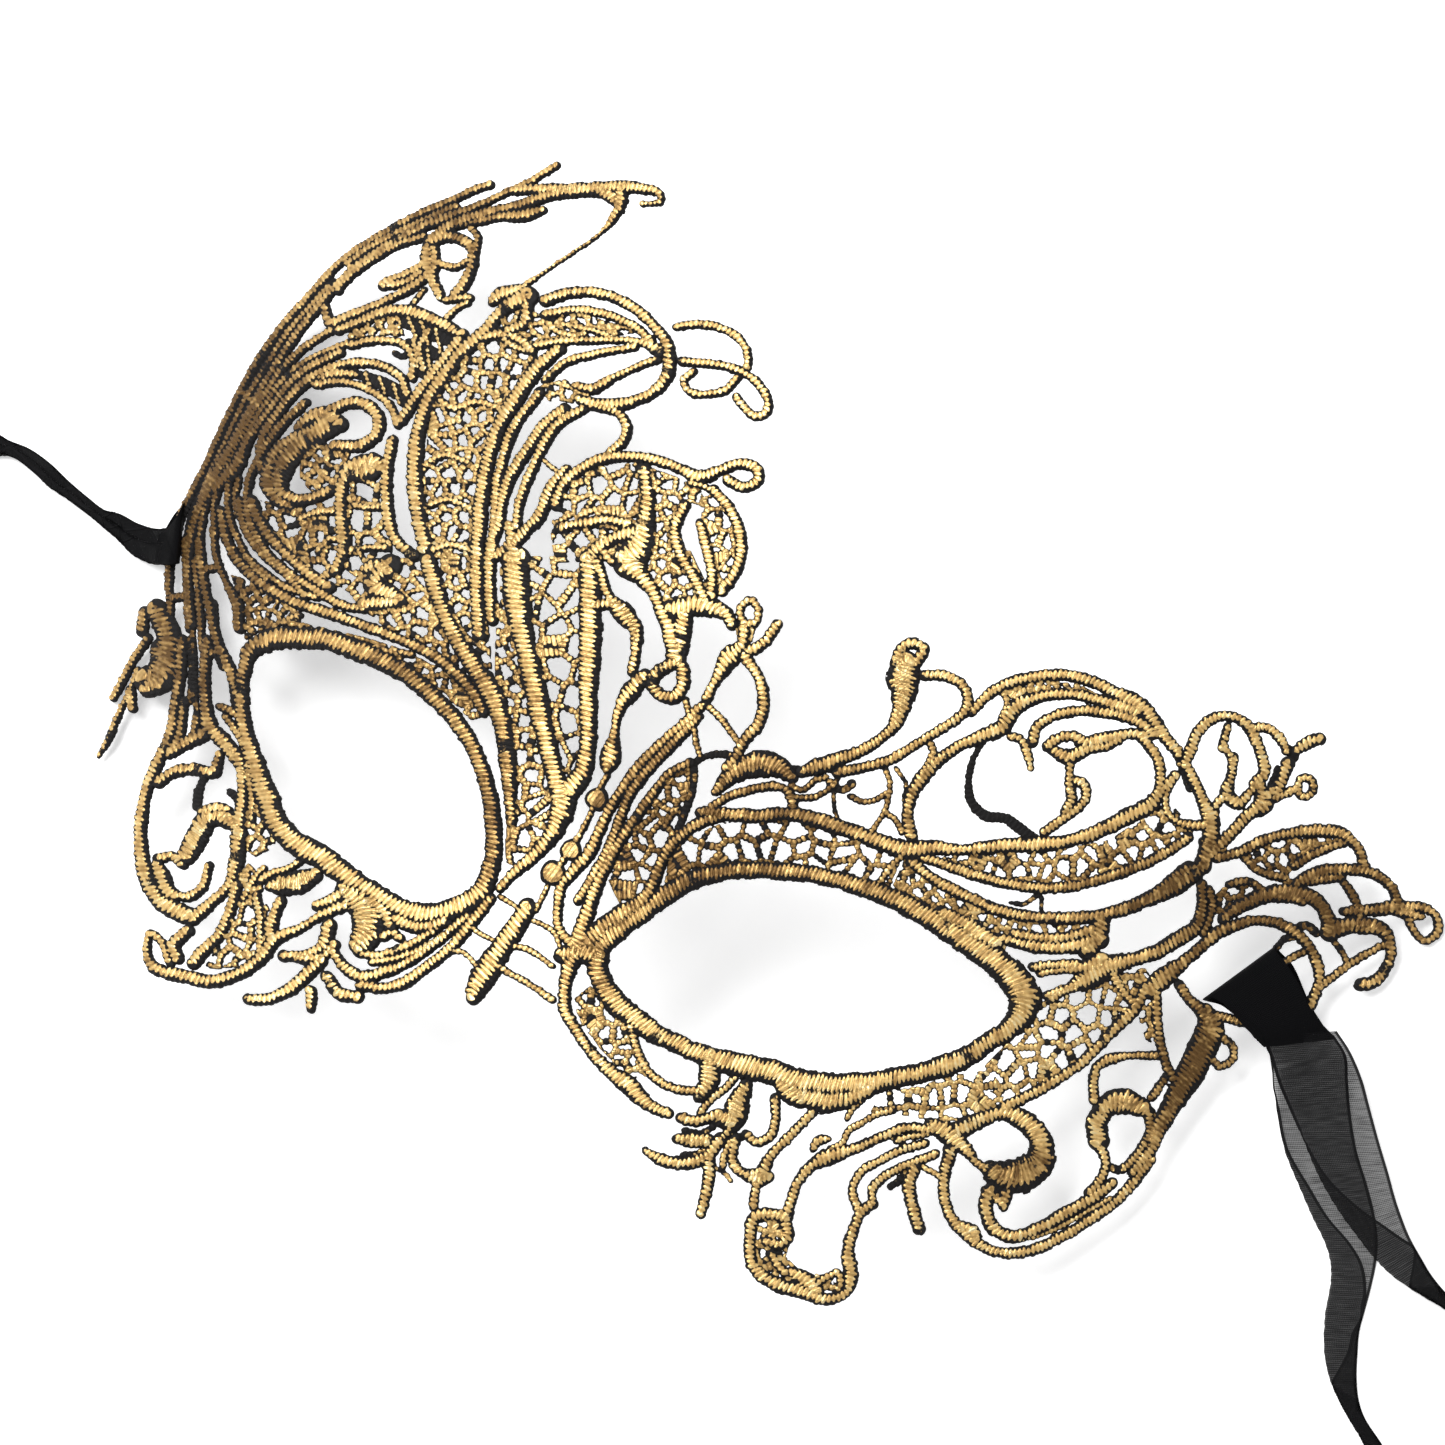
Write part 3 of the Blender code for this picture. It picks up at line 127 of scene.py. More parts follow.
# ---- the drawing: kinds are c open cord, R closed ring, C disc, t thin thread bar, N net area -----------
MOTIFS = """
@right_eye_rim
R 20: 648,908 672,891 698,878 724,872,18 750,870,18 775,871,18 800,873,18 826,877,18 850,883,19 875,892,21 900,902,22 928,917,24 953,932,26 975,947,27 996,962,28 1013,978,32 1024,995,34 1022,1012,30 1010,1028,22 992,1040,20 968,1056,22 945,1066,24 920,1073,22 895,1078,22 870,1083,24 845,1085,25 820,1084,26 795,1080,26 770,1071,26 745,1066,26 720,1060,24 695,1052,20 672,1041,20 652,1031,22 632,1016,24 614,1000,24 602,982,22 597,963,22 602,945,22 622,928,20
c 10: 630,1024 638,1052 650,1073 672,1087 699,1091
c 20: 708,1056 708,1082,22 700,1096,14
c 22: 795,1092,16 820,1100,26 845,1099,22 868,1090,16
@left_eye_rim
R 20: 405,673,20 419,684,19 440,703,18 457,722,18 473,748,16 483,772,16 490,798,17 493,823,18 494,849,18 489,874,20 480,893,22 464,904,22 447,911,22 431,914,24 408,911,22 380,895,20 358,882,22 338,869,24 324,858,24 306,849,26 288,835,24 275,818,24 269,800,24 263,784,22 257,765,20 251,748,18 246,727,16 243,704,14 243,688,14 246,668,14 252,650,18 268,641,22 282,638,22 301,638,22 328,640,21 350,647,22 378,659,21
@nose_stems
c 22: 565,795,28 561,815,24 552,835,18 535,855,14 515,872,12 500,888,10
c 20: 590,560,22 590,640,24 588,690,20 588,740,18 583,770,20 570,792,22
c 22: 516,560,28 517,600,28 525,645,22 538,700,24 545,735,20 554,770,20 562,800,22
@long_plume
c 18: 428,560,18 440,600,18 455,635,18 473,665,20 490,690,22 502,720,20 507,755,19 510,790,15 512,822,12
@bridge_cords
c 12: 703,705 690,718 660,745 640,765 625,785 612,805 600,830 588,855,14 573,872,14 562,886,12 558,905,11 559,928,10 572,944,12
c 12: 690,762,10 668,775,10 652,795,11 638,815 622,838 610,860,13 598,882,14 590,905,16 582,930,18 578,948,24
c 13: 722,815 695,826 672,845 660,865 650,890,14 640,903,18 622,914,20 604,927,22 590,942,26
c 14: 580,945,24 570,965,18 565,990,14 566,1010,14 578,1032,13 592,1052,13 612,1072,15 630,1086,20 650,1105,14 668,1113,12
@nose_drop
c 22: 528,908,20 515,928,22 503,945,22 492,962,26 480,982,26 473,997,16
c 8: 497,965 512,974 530,984 552,999,9
c 7: 508,944 525,948 541,957 553,966
@left_cheek_arc
c 12: 492,898,10 470,925 450,948 425,968 400,984 380,987 362,984
c 10: 470,915,9 455,927 440,940 420,955 400,966 383,972,13 362,976,14 345,966,12 335,952,12
c 10: 440,927 418,940 398,949 378,955 360,952
@right_brow_band
c 15: 700,812,12 735,815,15 760,816 790,814 820,821,17 850,831,17 880,842,17 905,850,20 935,848,16 965,850,12 1000,846,16 1040,845,16 1070,841,14 1100,831,16 1130,816,18 1150,806,18 1163,790,12 1176,776,12
c 12: 925,858 960,870 1000,882 1040,888 1070,887 1100,880 1130,870 1160,857 1190,838
c 13: 912,862,12 935,880,12 970,898 1000,911 1040,918 1080,918,14 1110,914 1140,904,14 1165,889,16 1190,868,16
c 12: 1014,934 1040,938 1070,937 1092,930
c 20: 1102,920,20 1098,935,22 1088,950,22
c 8: 905,852 890,868 880,882
@right_brow_plume
c 14: 897,662,12 902,648,12 912,643,12 924,648,12 916,664,12
c 14: 905,665,30 905,685,30 905,702,18 899,719,14 885,735,12 865,749,12 845,757,14 820,766,18 802,772,12
c 12: 925,675 945,676 962,684 969,698 965,712 948,725 928,737,11 905,752,11 885,762,11 860,768,12 838,772,12
@right_brow_scroll
c 13: 972,712,10 990,694 1010,683 1040,676 1065,675 1090,680 1115,692,15 1140,705,18 1155,720,16 1167,738 1180,753
c 13: 912,838 908,815 912,795,14 925,775,16 940,760,14 958,747 980,737,15 1003,727,18 1015,708,18 1040,697 1070,694 1095,699 1120,706,15 1140,712,16
c 12: 1033,742 1038,727 1055,716 1080,711 1110,713 1140,722 1155,735
c 12: 1048,746 1058,739 1073,736 1085,742,14 1102,740,16 1120,735 1140,735 1152,748 1160,762 1162,780 1158,797
c 12: 1052,750 1070,757,16 1090,748 
c 9: 1071,762 1070,776 1070,790
c 11: 1074,780 1084,784 1087,797 1078,809 1062,820 1045,832
k 7: 996,730,8 984,742,6 974,758,7 969,780,8 971,800,10 984,815,11 1004,818,11 1020,828,12 1036,842,14
@right_upper_plumes
c 12: 1186,766 1193,748 1200,732 1212,720 1228,716 1246,722 1257,738 1264,757 1266,773,14 1256,784,12
c 11: 1258,728 1270,728 1282,738 1289,750
c 14: 1297,752,10 1310,743 1322,739
c 14: 1290,764 1284,780 1278,796
c 9: 1300,787 1304,779 1313,780 1316,788 1311,796 1302,795 1300,787
c 10: 1290,792 1300,788
c 10: 1230,726 1224,748
c 11: 1236,757 1233,775 1229,795,16 1240,804,14 1252,792,10 1262,783
c 13: 1205,862,18 1212,840,18 1212,818,18 1204,800,13 1196,782,12 1188,766,12
c 13: 1200,868 1225,842 1245,820 1262,804,16 1263,785,12
c 13: 1275,790 1268,797
c 9: 1178,775 1168,792 1168,810 1178,822 1195,826,12 1208,826,12
@right_temple_fan
c 12: 1218,858 1240,853 1265,841 1290,834 1320,831,14 1345,835,14 1361,850,11 1367,868,12
c 11: 1296,866 1318,853 1345,843
c 15: 1225,918,13 1245,905,15 1270,895,18 1292,892,16 1315,898,14 1327,912,14 1332,930,18
c 14: 1297,884,12 1318,874,16 1345,870,13 1375,874,13 1394,888,11 1401,906,12
c 10: 1345,882 1357,900 1362,918
c 13: 1332,932,22 1360,924,16 1384,930,16 1393,950,12 1386,972,12 1372,984,14 1362,985,14
c 14: 1345,912,10 1370,911 1400,908,14 1422,908,12 1437,915,10 1440,932,10 1428,942,9 1415,930,9 1410,915,10
c 9: 1320,988 1350,966 1375,951 1390,944
c 8: 1336,942 1345,955 1350,966
c 9: 1245,858 1262,872 1285,878
c 9: 1230,885 1250,882 1268,893
@right_outer_band
c 16: 1050,1000,9 1068,989,10 1090,978,26 1110,966,24 1130,961,16 1155,953,16 1176,941,16 1198,926,16 1203,905,12 1203,885,12
c 11: 1033,968 1055,965 1078,966,14
c 14: 1150,990,18 1165,978,22 1185,962,14 1200,949,14 1215,936,14 1235,926,13 1258,921,11 1280,924,12 1300,936,13 1315,955,12 1321,980,12 1312,1006,12
c 10: 1112,972 1122,990 1134,1004
c 11: 1146,985 1136,1008,14 1118,1026,13 1100,1045,12 1085,1060,12 1060,1078,12 1030,1095,12 1002,1108,12
c 11: 1157,985 1157,1015 1160,1040 1165,1060 1172,1078
c 12: 1180,985 1190,1000 1203,1012,16 1214,1030,22 1203,1055,24 1193,1075,24 1178,1098,20 1163,1125,14 1150,1150,14 1132,1172,13
c 9: 1222,1038 1233,1046 1233,1060 1221,1067 1212,1060
c 11: 1214,1015 1240,1022 1270,1025 1295,1020 1312,1006
@right_cheek_hook
c 9: 1158,1056 1130,1056 1113,1059,12 1098,1066,11 1093,1082,11 1094,1100,12
c 20: 1098,1140,22 1097,1122,22 1110,1107,20 1130,1106,18 1146,1112,14
c 10: 1148,1112 1150,1130 1142,1147 1132,1160 1122,1170
c 11: 1100,1146 1105,1162 1100,1180 1088,1193 
@right_cheek_spiral
c 18: 955,1132,22 975,1122,18 1000,1113,16 1025,1122,22 1040,1140,24 1040,1160,30 1022,1175,36 1000,1175,30 990,1170,20
c 14: 990,1190,16 985,1207,15 992,1227,15 1012,1236,14 1040,1227,14 1065,1213,14 1090,1199,14 1112,1183,12
c 12: 950,1150,16 943,1180 945,1203 956,1225 975,1242 1000,1252 1030,1250 1060,1237 1090,1219 1110,1205 1130,1186 1150,1160
@lower_fringe
c 12: 680,1117 695,1120 718,1114,14
c 10: 712,1150 722,1138 731,1126
c 18: 745,1085,14 738,1102,24 732,1118,28 716,1116,16
c 14: 645,1150,9 665,1160 690,1162 708,1154 720,1138
c 12: 675,1137,8 695,1138,14 708,1139
c 14: 708,1155 709,1175 705,1195,12 700,1212,12
c 12: 735,1138 732,1160 742,1172 765,1172,12
c 11: 745,1133 756,1141 770,1134 775,1118 775,1098
c 11: 812,1112 785,1140 770,1155 762,1172,16 755,1188 753,1206
@lower_loop
c 14: 785,1216,12 770,1213,14 754,1216,14 749,1240,13 753,1265,14 772,1281,16 800,1290,16 826,1298,12 846,1290,12 850,1272,16 847,1250,14 853,1228,12 860,1212,12 872,1203,12
c 10: 858,1210 852,1190 860,1172 880,1160 905,1148 925,1143
c 10: 872,1204 872,1188 888,1173 912,1162 935,1154
c 12: 786,1216 791,1200 797,1182 810,1166 828,1156,18 855,1148 880,1137 905,1128 935,1130
c 14: 914,1166 908,1185 912,1205 918,1228
c 10: 770,1252 776,1262 785,1272
c 12: 765,1240 780,1243 788,1233 784,1220
@crest_left_edge
c 9: 172,615,7 170,580 173,550 184,512 205,470 225,425 250,375 280,330 310,295 345,258 385,232 420,213 455,198 475,188 490,183
c 9: 193,625,11 190,590 190,555 198,520 214,482,18 232,450,14 258,398 290,345 320,305 352,270 392,243 432,222,12 470,208 500,194,8 530,180,8 557,163,8
c 10: 172,598 192,596
c 8: 242,392 256,404
c 8: 344,258 356,272
c 10: 214,490,14 235,470,16 250,440 275,405 300,375 340,352 
c 10: 325,306 331,322,12 355,313,10 385,301 410,288 428,275
@crest_top_plume
c 13: 430,240,12 450,226 480,214,12 520,204,12 560,191,14 600,187,16 640,186,12 660,192,10 660,200,8 643,202,6
c 10: 622,190,14 620,205,12 600,232,4 570,253,4 545,270,4 525,284,7
c 12: 455,226,8 500,216,10 525,214,14 543,208,8
c 12: 430,240 450,236 470,244 473,260 466,280 454,296
c 10: 434,245 436,262 432,280 441,296
c 8: 437,262 455,266 468,260
c 10: 428,262 408,273 390,280 383,284
@crest_fore_lobe
c 12: 338,330,10 360,322,10 385,312 410,311,14 440,322,14 462,334,12
c 9: 445,300 455,298 470,297
c 9: 350,345 380,340 404,344 414,360 412,378 
c 11: 262,470,9 262,445 285,405 312,378 345,364 375,364 400,376,10 408,395,9
c 9: 315,385 345,382 370,390 390,405 398,425
c 12: 460,340 438,368 418,395 402,420
c 9: 430,330 420,350 425,368
@crest_feathers
c 15: 528,295,22 505,308,14 484,332 462,352 443,378 428,402 418,435,16 415,475,17 419,515,17 426,548,17
c 15: 560,348,12 537,368 518,395,17 500,425,15 490,455,14 483,490 479,530 477,570 478,605 480,635
c 13: 565,408 545,425 527,450 512,475 503,500,11 500,520,12
c 13: 566,468,10 550,490 540,515 522,535 508,548 494,558,10
c 12: 500,522 492,545 490,580 492,620
c 8: 440,400 455,408 475,402 500,408
c 8: 425,465 445,455 468,462
c 8: 430,505 450,500 470,508
c 8: 432,550 450,545 470,550
c 8: 500,330 512,345 530,350
c 12: 528,305 525,322 510,330
@crest_loops
c 12: 545,300,14 570,292 600,292 630,304 655,325 668,345 668,372,14 655,390 635,400 605,405,14 580,400,12
c 10: 545,314 575,309 605,313 635,326 652,340
c 9: 535,345 560,341 600,339 640,341 660,350,14
c 9: 545,380 565,362 600,352 635,346
c 9: 575,385 592,388,12 615,376 645,363 658,358
c 11: 600,406 618,412 627,428 622,442 610,452
c 8: 548,322 560,332 575,335
@crest_curl
c 9: 676,326 692,323 715,325 738,336 748,352 748,366
c 10: 682,361 705,362 732,367 750,375 763,388 769,402 765,413 755,415 745,407 737,396
c 9: 694,370 684,380 690,391 710,393 728,388 738,376
@medallion
c 12: 556,505 562,488 575,473 595,461 620,456 650,458 680,468 700,477,16 720,470 742,463 757,468 758,480 745,487 728,480
c 12: 714,490 730,508 740,532 741,556 733,576 722,590,14
c 12: 685,505 675,530 682,556 697,582 706,600
c 12: 700,522,10 706,545 712,570 712,595
c 16: 645,470 648,505 640,545,30 630,560,36 640,575,20 652,590,14 662,612,14 672,635,20 676,658,20
c 12: 560,528 580,524 605,520 628,524
c 10: 612,600,10 622,612,22 634,628,14 636,650,11 632,672,11
c 14: 680,664 683,682 675,697 660,695 652,682 660,670 680,664
c 14: 645,675 632,690,20 620,708,12 614,735,10 610,758,22 607,770,8
c 20: 672,610,20 700,605,22 722,612,16
c 10: 604,530 604,550 612,562
@side_loop
c 14: 745,628 742,645,14 730,658,22 716,680,12 707,698,12
c 13: 744,655 759,678,12 764,702,14 758,725 744,741,12 736,757,12 728,768
c 8: 708,706 722,720 738,742
c 9: 750,600 758,608 756,622 744,622 741,608 750,600
c 12: 748,652 764,643 777,624
@bead_chain
C 12: 597,799
C 11: 571,850
C 13: 553,873
c 7: 607,776 600,788 594,805 585,825 573,845 560,865
@paisley
c 10: 306,402 285,422 266,448 250,480,9 249,512 262,545 285,570 312,588 345,606 364,609
c 10: 318,430 290,440,9 270,468
c 22: 330,424,26 300,445,26 282,470,22 283,493,14 305,500,12 332,490,12
c 13: 330,410,12 358,402 377,414 378,432 362,445 335,446 
c 14: 370,470,24 345,480,14 342,515,14 344,550,14 336,572,12
c 12: 392,440 387,475 388,512 396,540 415,556
c 22: 390,565,24 375,585,24 400,600,16 365,605,16
c 8: 300,520 320,512 335,512
c 8: 318,552 330,540 342,540
c 8: 355,505 370,508 386,505
c 8: 350,550 368,548 388,548
@left_brow_band
c 12: 222,510,10 228,540 245,568 272,590 300,604 335,615 370,628 402,640 432,655 455,672,13 474,694,12 484,712,12
c 10: 240,500 246,528 262,552 290,578 306,596
c 8: 300,615 285,622
c 8: 400,652 412,655
@left_temple_cords
c 8: 214,530 218,560 228,585 238,605,12 240,628,12
c 10: 200,540 204,575 210,605 218,640 230,670
c 12: 209,640 206,670,12 207,700 212,728,16 226,742,16 236,758,12
c 8: 206,655 224,652
c 8: 202,570 220,568
@left_cheek_scroll
c 13: 183,640,12 182,670,12 178,700,12 172,735,12 158,765,12 147,795,12 143,820,13 143,850,14 150,880,18 165,903,18 190,915,20
c 12: 205,735,14 185,745,12 170,755,9
c 12: 160,782 175,772 195,769,13 215,772,14 221,755,9
c 12: 244,770,12 244,800,12 240,830,16 238,860,16 230,885,12 210,905,12 195,918,14
c 20: 185,858,16 197,840,22 208,820,20 230,815,14
c 10: 160,858 175,856 185,865
c 10: 210,865 205,885 190,896 172,893
c 12: 238,885 232,910,12 220,935,12 205,950,14 195,962,14
c 12: 190,930 176,945,14 180,958,12
@left_temple_fan
c 22: 158,610,22 170,640,26 165,675,34 150,680,30 
c 9: 150,638 135,660 122,685 115,698
c 12: 146,612 143,632
c 7: 140,670 130,695 122,710 112,735 100,757,3
c 10: 132,690 134,708
@left_cheek_curl
c 13: 172,962,10 163,940,9 153,933,9 149,948,9 156,966,13 185,975,14 215,980,14 240,973,14 262,958,14 278,938,14 300,928,10 322,915,10 345,905,14
c 10: 262,958 262,940 262,915 258,895
c 22: 280,885,20 300,882,24 316,875,16
c 8: 245,900 255,880 265,868
c 26: 345,890,20 365,905,36 372,930,28 362,948,20
c 12: 285,955 305,955 325,945,16 330,925,16
c 14: 250,998,12 270,998,12 292,988 310,972 322,960
c 12: 312,1008,10 312,990,12
c 14: 328,975,12 340,992,14 358,996,14
@crest_left_edge
k 16: 332,284 291,330 268,365 247,400 229,438 212,475 198,512 188,550
c 7: 330,286 290,331 267,366 246,401 228,439 211,476 197,513 187,550
c 9: 333,329 314,341 298,353 283,370 271,388 259,406 249,424 238,446 228,466 214,480
c 8: 350,342 330,350 312,358 297,368 283,382 270,400 258,418 248,438 240,455
c 8: 350,262 372,246 402,230 432,216 456,205
c 9: 338,290 352,274 368,262 386,250 404,242 424,236
c 8: 214,484 208,500 204,518 201,540 200,562
@left_temple_cords
c 8: 222,478 217,496 215,514 216,534
c 8: 232,470 229,490 229,508 234,528 243,548 254,566 268,580
c 7: 240,478 236,498 238,516
c 8: 196,560 199,590 202,620 203,650
t 7: 193,620 194,650 196,690 198,720
c 8: 186,540 187,570 188,600 190,630
@crest_top_plume
c 13: 505,190,8 530,188,12 560,188,14 600,190,12 614,196,14 618,202,10
@crest_fore_lobe
c 16: 492,302,10 500,294,16 514,290,14 526,286,8
N 12: 500,318 526,306 545,316 580,312 640,330 600,338 560,340 530,352 508,340
N 12: 540,385 565,378 590,392 585,405 560,400 548,400
c 7: 575,326 595,330 615,338
@crest_loops
c 14: 428,246,12 428,262,16 432,276,12 438,290,10
c 8: 470,226 478,236 476,250
t 6: 408,308 416,298 424,288
c 7: 446,318 456,308 468,302
c 9: 382,286 396,284 410,280 420,272
N 11: 346,334 372,318 400,316 404,336 376,334 350,340
c 12: 318,378,8 336,374 356,374,8
@crest_feathers
c 10: 468,346 484,338 500,334 518,338 533,350
N 15: 448,362 470,340 500,336 534,350 540,362 520,390 503,420 494,450 488,480 484,520 482,556 430,556 425,520 424,470 428,430 436,395
c 11: 540,392 530,405 518,421 509,440 503,460 498,480 496,505 494,530 492,556
c 11: 585,408 566,418 552,432 541,450 532,470 524,488 519,506 517,526
c 6: 544,460 556,470 566,476
N 15: 432,556 480,556 484,600 490,640 492,690 480,680 462,645 446,610
N 16: 500,560 516,560 520,600 530,640 530,660 515,650 500,640
@paisley
c 16: 300,428,12 312,418 326,414 340,424,18
c 18: 296,436,10 280,450,15 271,468,18 270,486,18 278,500,14 292,507,10
c 16: 346,470,14 360,464,18 374,462,18 384,470,14
N 13: 300,440 318,434 330,446 350,452 346,470 340,486 312,492 300,480
N 17: 258,500 300,506 340,500 352,520 350,590 330,584 300,572 272,548
N 22: 344,484 388,476 392,556 360,580 346,570
c 12: 252,500 258,516 266,530 276,543 288,555 302,568 318,580 330,588
c 14: 366,570,12 378,566,18 390,572,14
N 16: 345,590 360,575 390,560 420,556 434,580 447,610 462,640 480,676 470,690 440,662 400,640 366,612
@left_brow_band
t 6: 300,628 330,634 355,644 375,654 390,662
N 13: 300,622 360,636 400,648 440,668 466,690 484,716 470,720 440,690 410,668 370,650 330,634 300,632
N 12: 232,575 250,580 276,598 300,612 300,626 262,630 246,640 240,612
c 8: 246,556 262,570 280,583 298,592 318,598
@medallion
N 17: 558,500 570,480 600,466 640,462 650,500 641,535 626,560 555,562 550,530
N 14: 648,466 676,476 700,488 708,508 686,500 676,520 684,545 692,562 650,560 641,540
N 15: 652,555 690,550 715,600 726,612 690,606 672,612 655,590 648,570
c 8: 690,482 704,486 716,492
c 22: 686,612,14 682,630,22 680,650,18
c 14: 716,606 726,612 732,624
@side_loop
N 9: 734,622 756,626 752,642 738,640
@crest_curl
N 15: 700,498 716,492 734,512 742,540 738,575 722,592 712,590 704,545
@nose_stems
N 22: 520,556 592,556 590,640 585,700 580,745 566,785 545,730 530,670 522,620
c 10: 594,556,14 602,575 606,590 612,600
c 12: 592,606 604,604 616,604 628,614 636,626 638,640
@long_plume
N 17: 496,600 515,600 530,660 545,735 560,800 545,840 520,868 505,862 508,790 505,740 495,690
@bead_chain
c 7: 686,700 688,710 690,720
c 6: 548,886 542,898 536,910
@bridge_cords
c 12: 700,716,8 688,728 672,745 655,763 640,780 629,797 621,816 614,836 606,855 597,870 588,885 578,900
c 7: 694,728 696,742 700,756
t 8: 692,764 706,756 722,754 736,756
t 9: 694,768 692,790 686,808 680,825 672,840
c 7: 655,800 664,808 676,812
c 7: 664,828 672,815 678,808
N 17: 652,790 690,765 690,800 680,830 665,850 650,880 640,900 620,905 608,880 622,850 640,815
c 20: 562,954,18 580,952,22 598,956,26
N 14: 572,1000 590,985 606,1000 630,1020 642,1050 652,1075 630,1078 600,1048 582,1024
c 6: 532,920 542,924 554,932 560,946
@right_brow_plume
c 28: 906,662,14 902,674,30 902,690,24 900,706,16 894,722,12
@right_brow_band
c 26: 716,792,10 728,778,18 744,768,24 762,764,28 780,768,22 792,778,12
c 10: 706,812 716,804 728,797 742,792 758,788 774,786 786,790 792,800,12 794,812
t 7: 786,770 796,768 804,772
c 7: 794,797 808,798 822,794 832,786
c 7: 790,785 802,790 816,780 826,778
t 6: 838,775 834,790 834,806 838,820
t 9: 830,782 842,790 852,784
c 7: 850,796 864,802 876,800 886,794
c 7: 886,770 890,784 888,800 884,812 878,822 870,834
c 7: 884,812 896,820 902,832
t 6: 896,768 906,784 904,800
N 21: 664,884 670,852 690,836 725,822 790,818 830,830 870,843 905,855 892,880 900,895 860,887 800,874 740,870 690,878
N 13: 905,858 930,875 960,893 990,908 1040,920 1080,925 1085,945 1010,940 1000,960 975,950 950,925 905,900 893,885
c 14: 1000,938,10 1030,946 1060,948 1085,944,18 1100,940,20
c 20: 940,912,14 960,922,18 980,934,22 996,944,16
N 16: 940,856 1000,850 1060,850 1110,840 1150,815 1170,800 1195,830 1190,845 1160,862 1110,882 1060,887 1010,884 960,870
c 16: 1110,912,10 1140,903,14 1165,893,18 1186,880,20 1204,866,18
t 5: 1010,903 1024,904 1040,896 1042,912
@right_brow_scroll
N 10: 1005,690 1040,680 1080,684 1110,700 1140,718 1160,740 1130,720 1090,702 1050,695 1010,702
c 7: 1004,692 1008,704 1002,716
c 10: 1012,736 1022,740 1028,752 1031,768,8
c 9: 930,742 934,752 928,764 922,774
c 12: 1090,748 1108,746 1124,736
c 12: 1072,790 1072,800 1066,812
t 10: 1180,756 1186,772 1192,788
@right_upper_plumes
c 9: 1218,812 1212,824 1208,840
c 14: 1264,792,10 1268,804,16 1262,812,12
c 10: 1216,808 1222,800 1230,798
@right_temple_fan
c 9: 1204,842 1212,846 1224,850
N 15: 1240,852 1290,838 1345,838 1330,846 1300,860 1292,885 1270,880 1250,868
N 14: 1208,925 1206,905 1224,888 1244,882 1266,892 1240,903 1222,915
c 15: 1222,920,9 1240,908,13 1262,898,16 1285,896,15 1304,902,11
c 12: 1302,884,8 1322,880,12 1344,878,10
c 16: 1308,898,10 1322,906,14 1330,920,16 1330,934,14
c 14: 1336,930,10 1356,928,14 1378,930,12
c 14: 1396,912,8 1410,914,14 1424,918,8
c 8: 1284,964 1294,958 1306,952
t 8: 1278,948 1286,940 1296,938
t 10: 1296,930 1308,926 1318,934
c 10: 1210,890 1214,905 1210,920 1204,934
@left_temple_fan
c 24: 160,648,16 163,665,26 160,682,26 148,690,14
@left_cheek_curl
t 10: 192,640 194,670 193,700
c 9: 186,700 184,720 180,740 172,752
c 9: 198,716 196,732 188,744
c 8: 226,716 234,726 242,738 248,756
c 8: 248,764 252,784 254,800 253,820
N 14: 246,800 262,806 274,830 276,846 256,856 248,850
c 14: 206,812 218,808 230,810,10
c 22: 190,858,14 196,842,22 204,826,20
c 12: 158,862,10 164,876,16 170,890,14 178,896
@left_cheek_scroll
N 17: 236,880 250,862 262,876 266,900 276,920 262,950 240,966 205,968 222,940 234,910
c 16: 270,886,10 284,884,18 300,882,20 314,876,14
c 9: 262,880 276,872 290,868 300,862
c 12: 318,905 332,900 345,892
c 12: 282,900 276,914 272,930,14 276,942
c 12: 296,957,10 312,958,14 326,954,10 336,944
@left_cheek_arc
c 26: 352,896,20 364,908,28 366,930,26 358,944,18
c 14: 372,900 386,912 392,926
c 10: 384,936 394,932 400,938
c 14: 396,918 414,926 432,926 446,920
c 8: 372,962 396,958 420,950 440,938 456,926
c 6: 470,922 478,932 490,938 500,944
c 6: 452,950 464,952 474,962 482,970
@nose_drop
c 6: 500,896 510,902 518,908
@lower_fringe
c 9: 700,1112 712,1098 724,1088 734,1078
c 20: 742,1090,12 736,1106,20 732,1122,22
c 11: 676,1138 692,1142 706,1142
t 7: 684,1130 700,1132 712,1126
t 7: 682,1154 698,1152 710,1148
t 9: 726,1130 738,1136 748,1134
c 8: 730,1140 724,1154 722,1166
t 6: 712,1166 724,1172 730,1180
c 16: 748,1176,12 758,1178,16 768,1176,12
@right_eye_rim
c 20: 778,1082,14 790,1092,22 800,1100,18
@lower_loop
c 8: 830,1148 842,1142 848,1130 862,1122 876,1114 892,1110
c 7: 846,1118 852,1108 862,1100
c 12: 812,1148,8 818,1140,12 828,1138,8
N 11: 752,1215 785,1216 790,1240 785,1255 800,1270 830,1275 840,1290 800,1290 770,1278 752,1255
c 9: 816,1282 826,1276 836,1272 840,1280 836,1290
c 18: 790,1270,12 806,1280,18 816,1290,14
@right_cheek_spiral
N 19: 1040,1000 1060,985 1100,980 1120,985 1140,1000 1120,1025 1090,1055 1060,1075 1030,1090 1005,1100 990,1092 975,1075 1010,1040 1035,1020
c 16: 1040,974,8 1064,970,10 1084,968,16 1100,962,20
c 9: 1046,996 1064,990 1084,984 1100,976
N 17: 880,1092 920,1086 950,1075 990,1070 1005,1090 1000,1110 960,1120 930,1120 900,1115 870,1112
c 20: 930,1124,14 946,1132,22 960,1144,18 972,1156,10
c 9: 966,1150 974,1160 984,1168
c 30: 990,1168,16 1002,1176,28 1020,1178,30 1036,1166,26 1042,1148,20
c 10: 984,1190 994,1196 1002,1204
c 10: 1006,1192,14 1002,1206,10
c 12: 958,1226 968,1228,14 976,1236
c 7: 922,1166 932,1172 940,1176
t 6: 890,1136 902,1144 912,1150
c 8: 896,1140 910,1136 926,1134
t 9: 890,1186 898,1180 904,1172
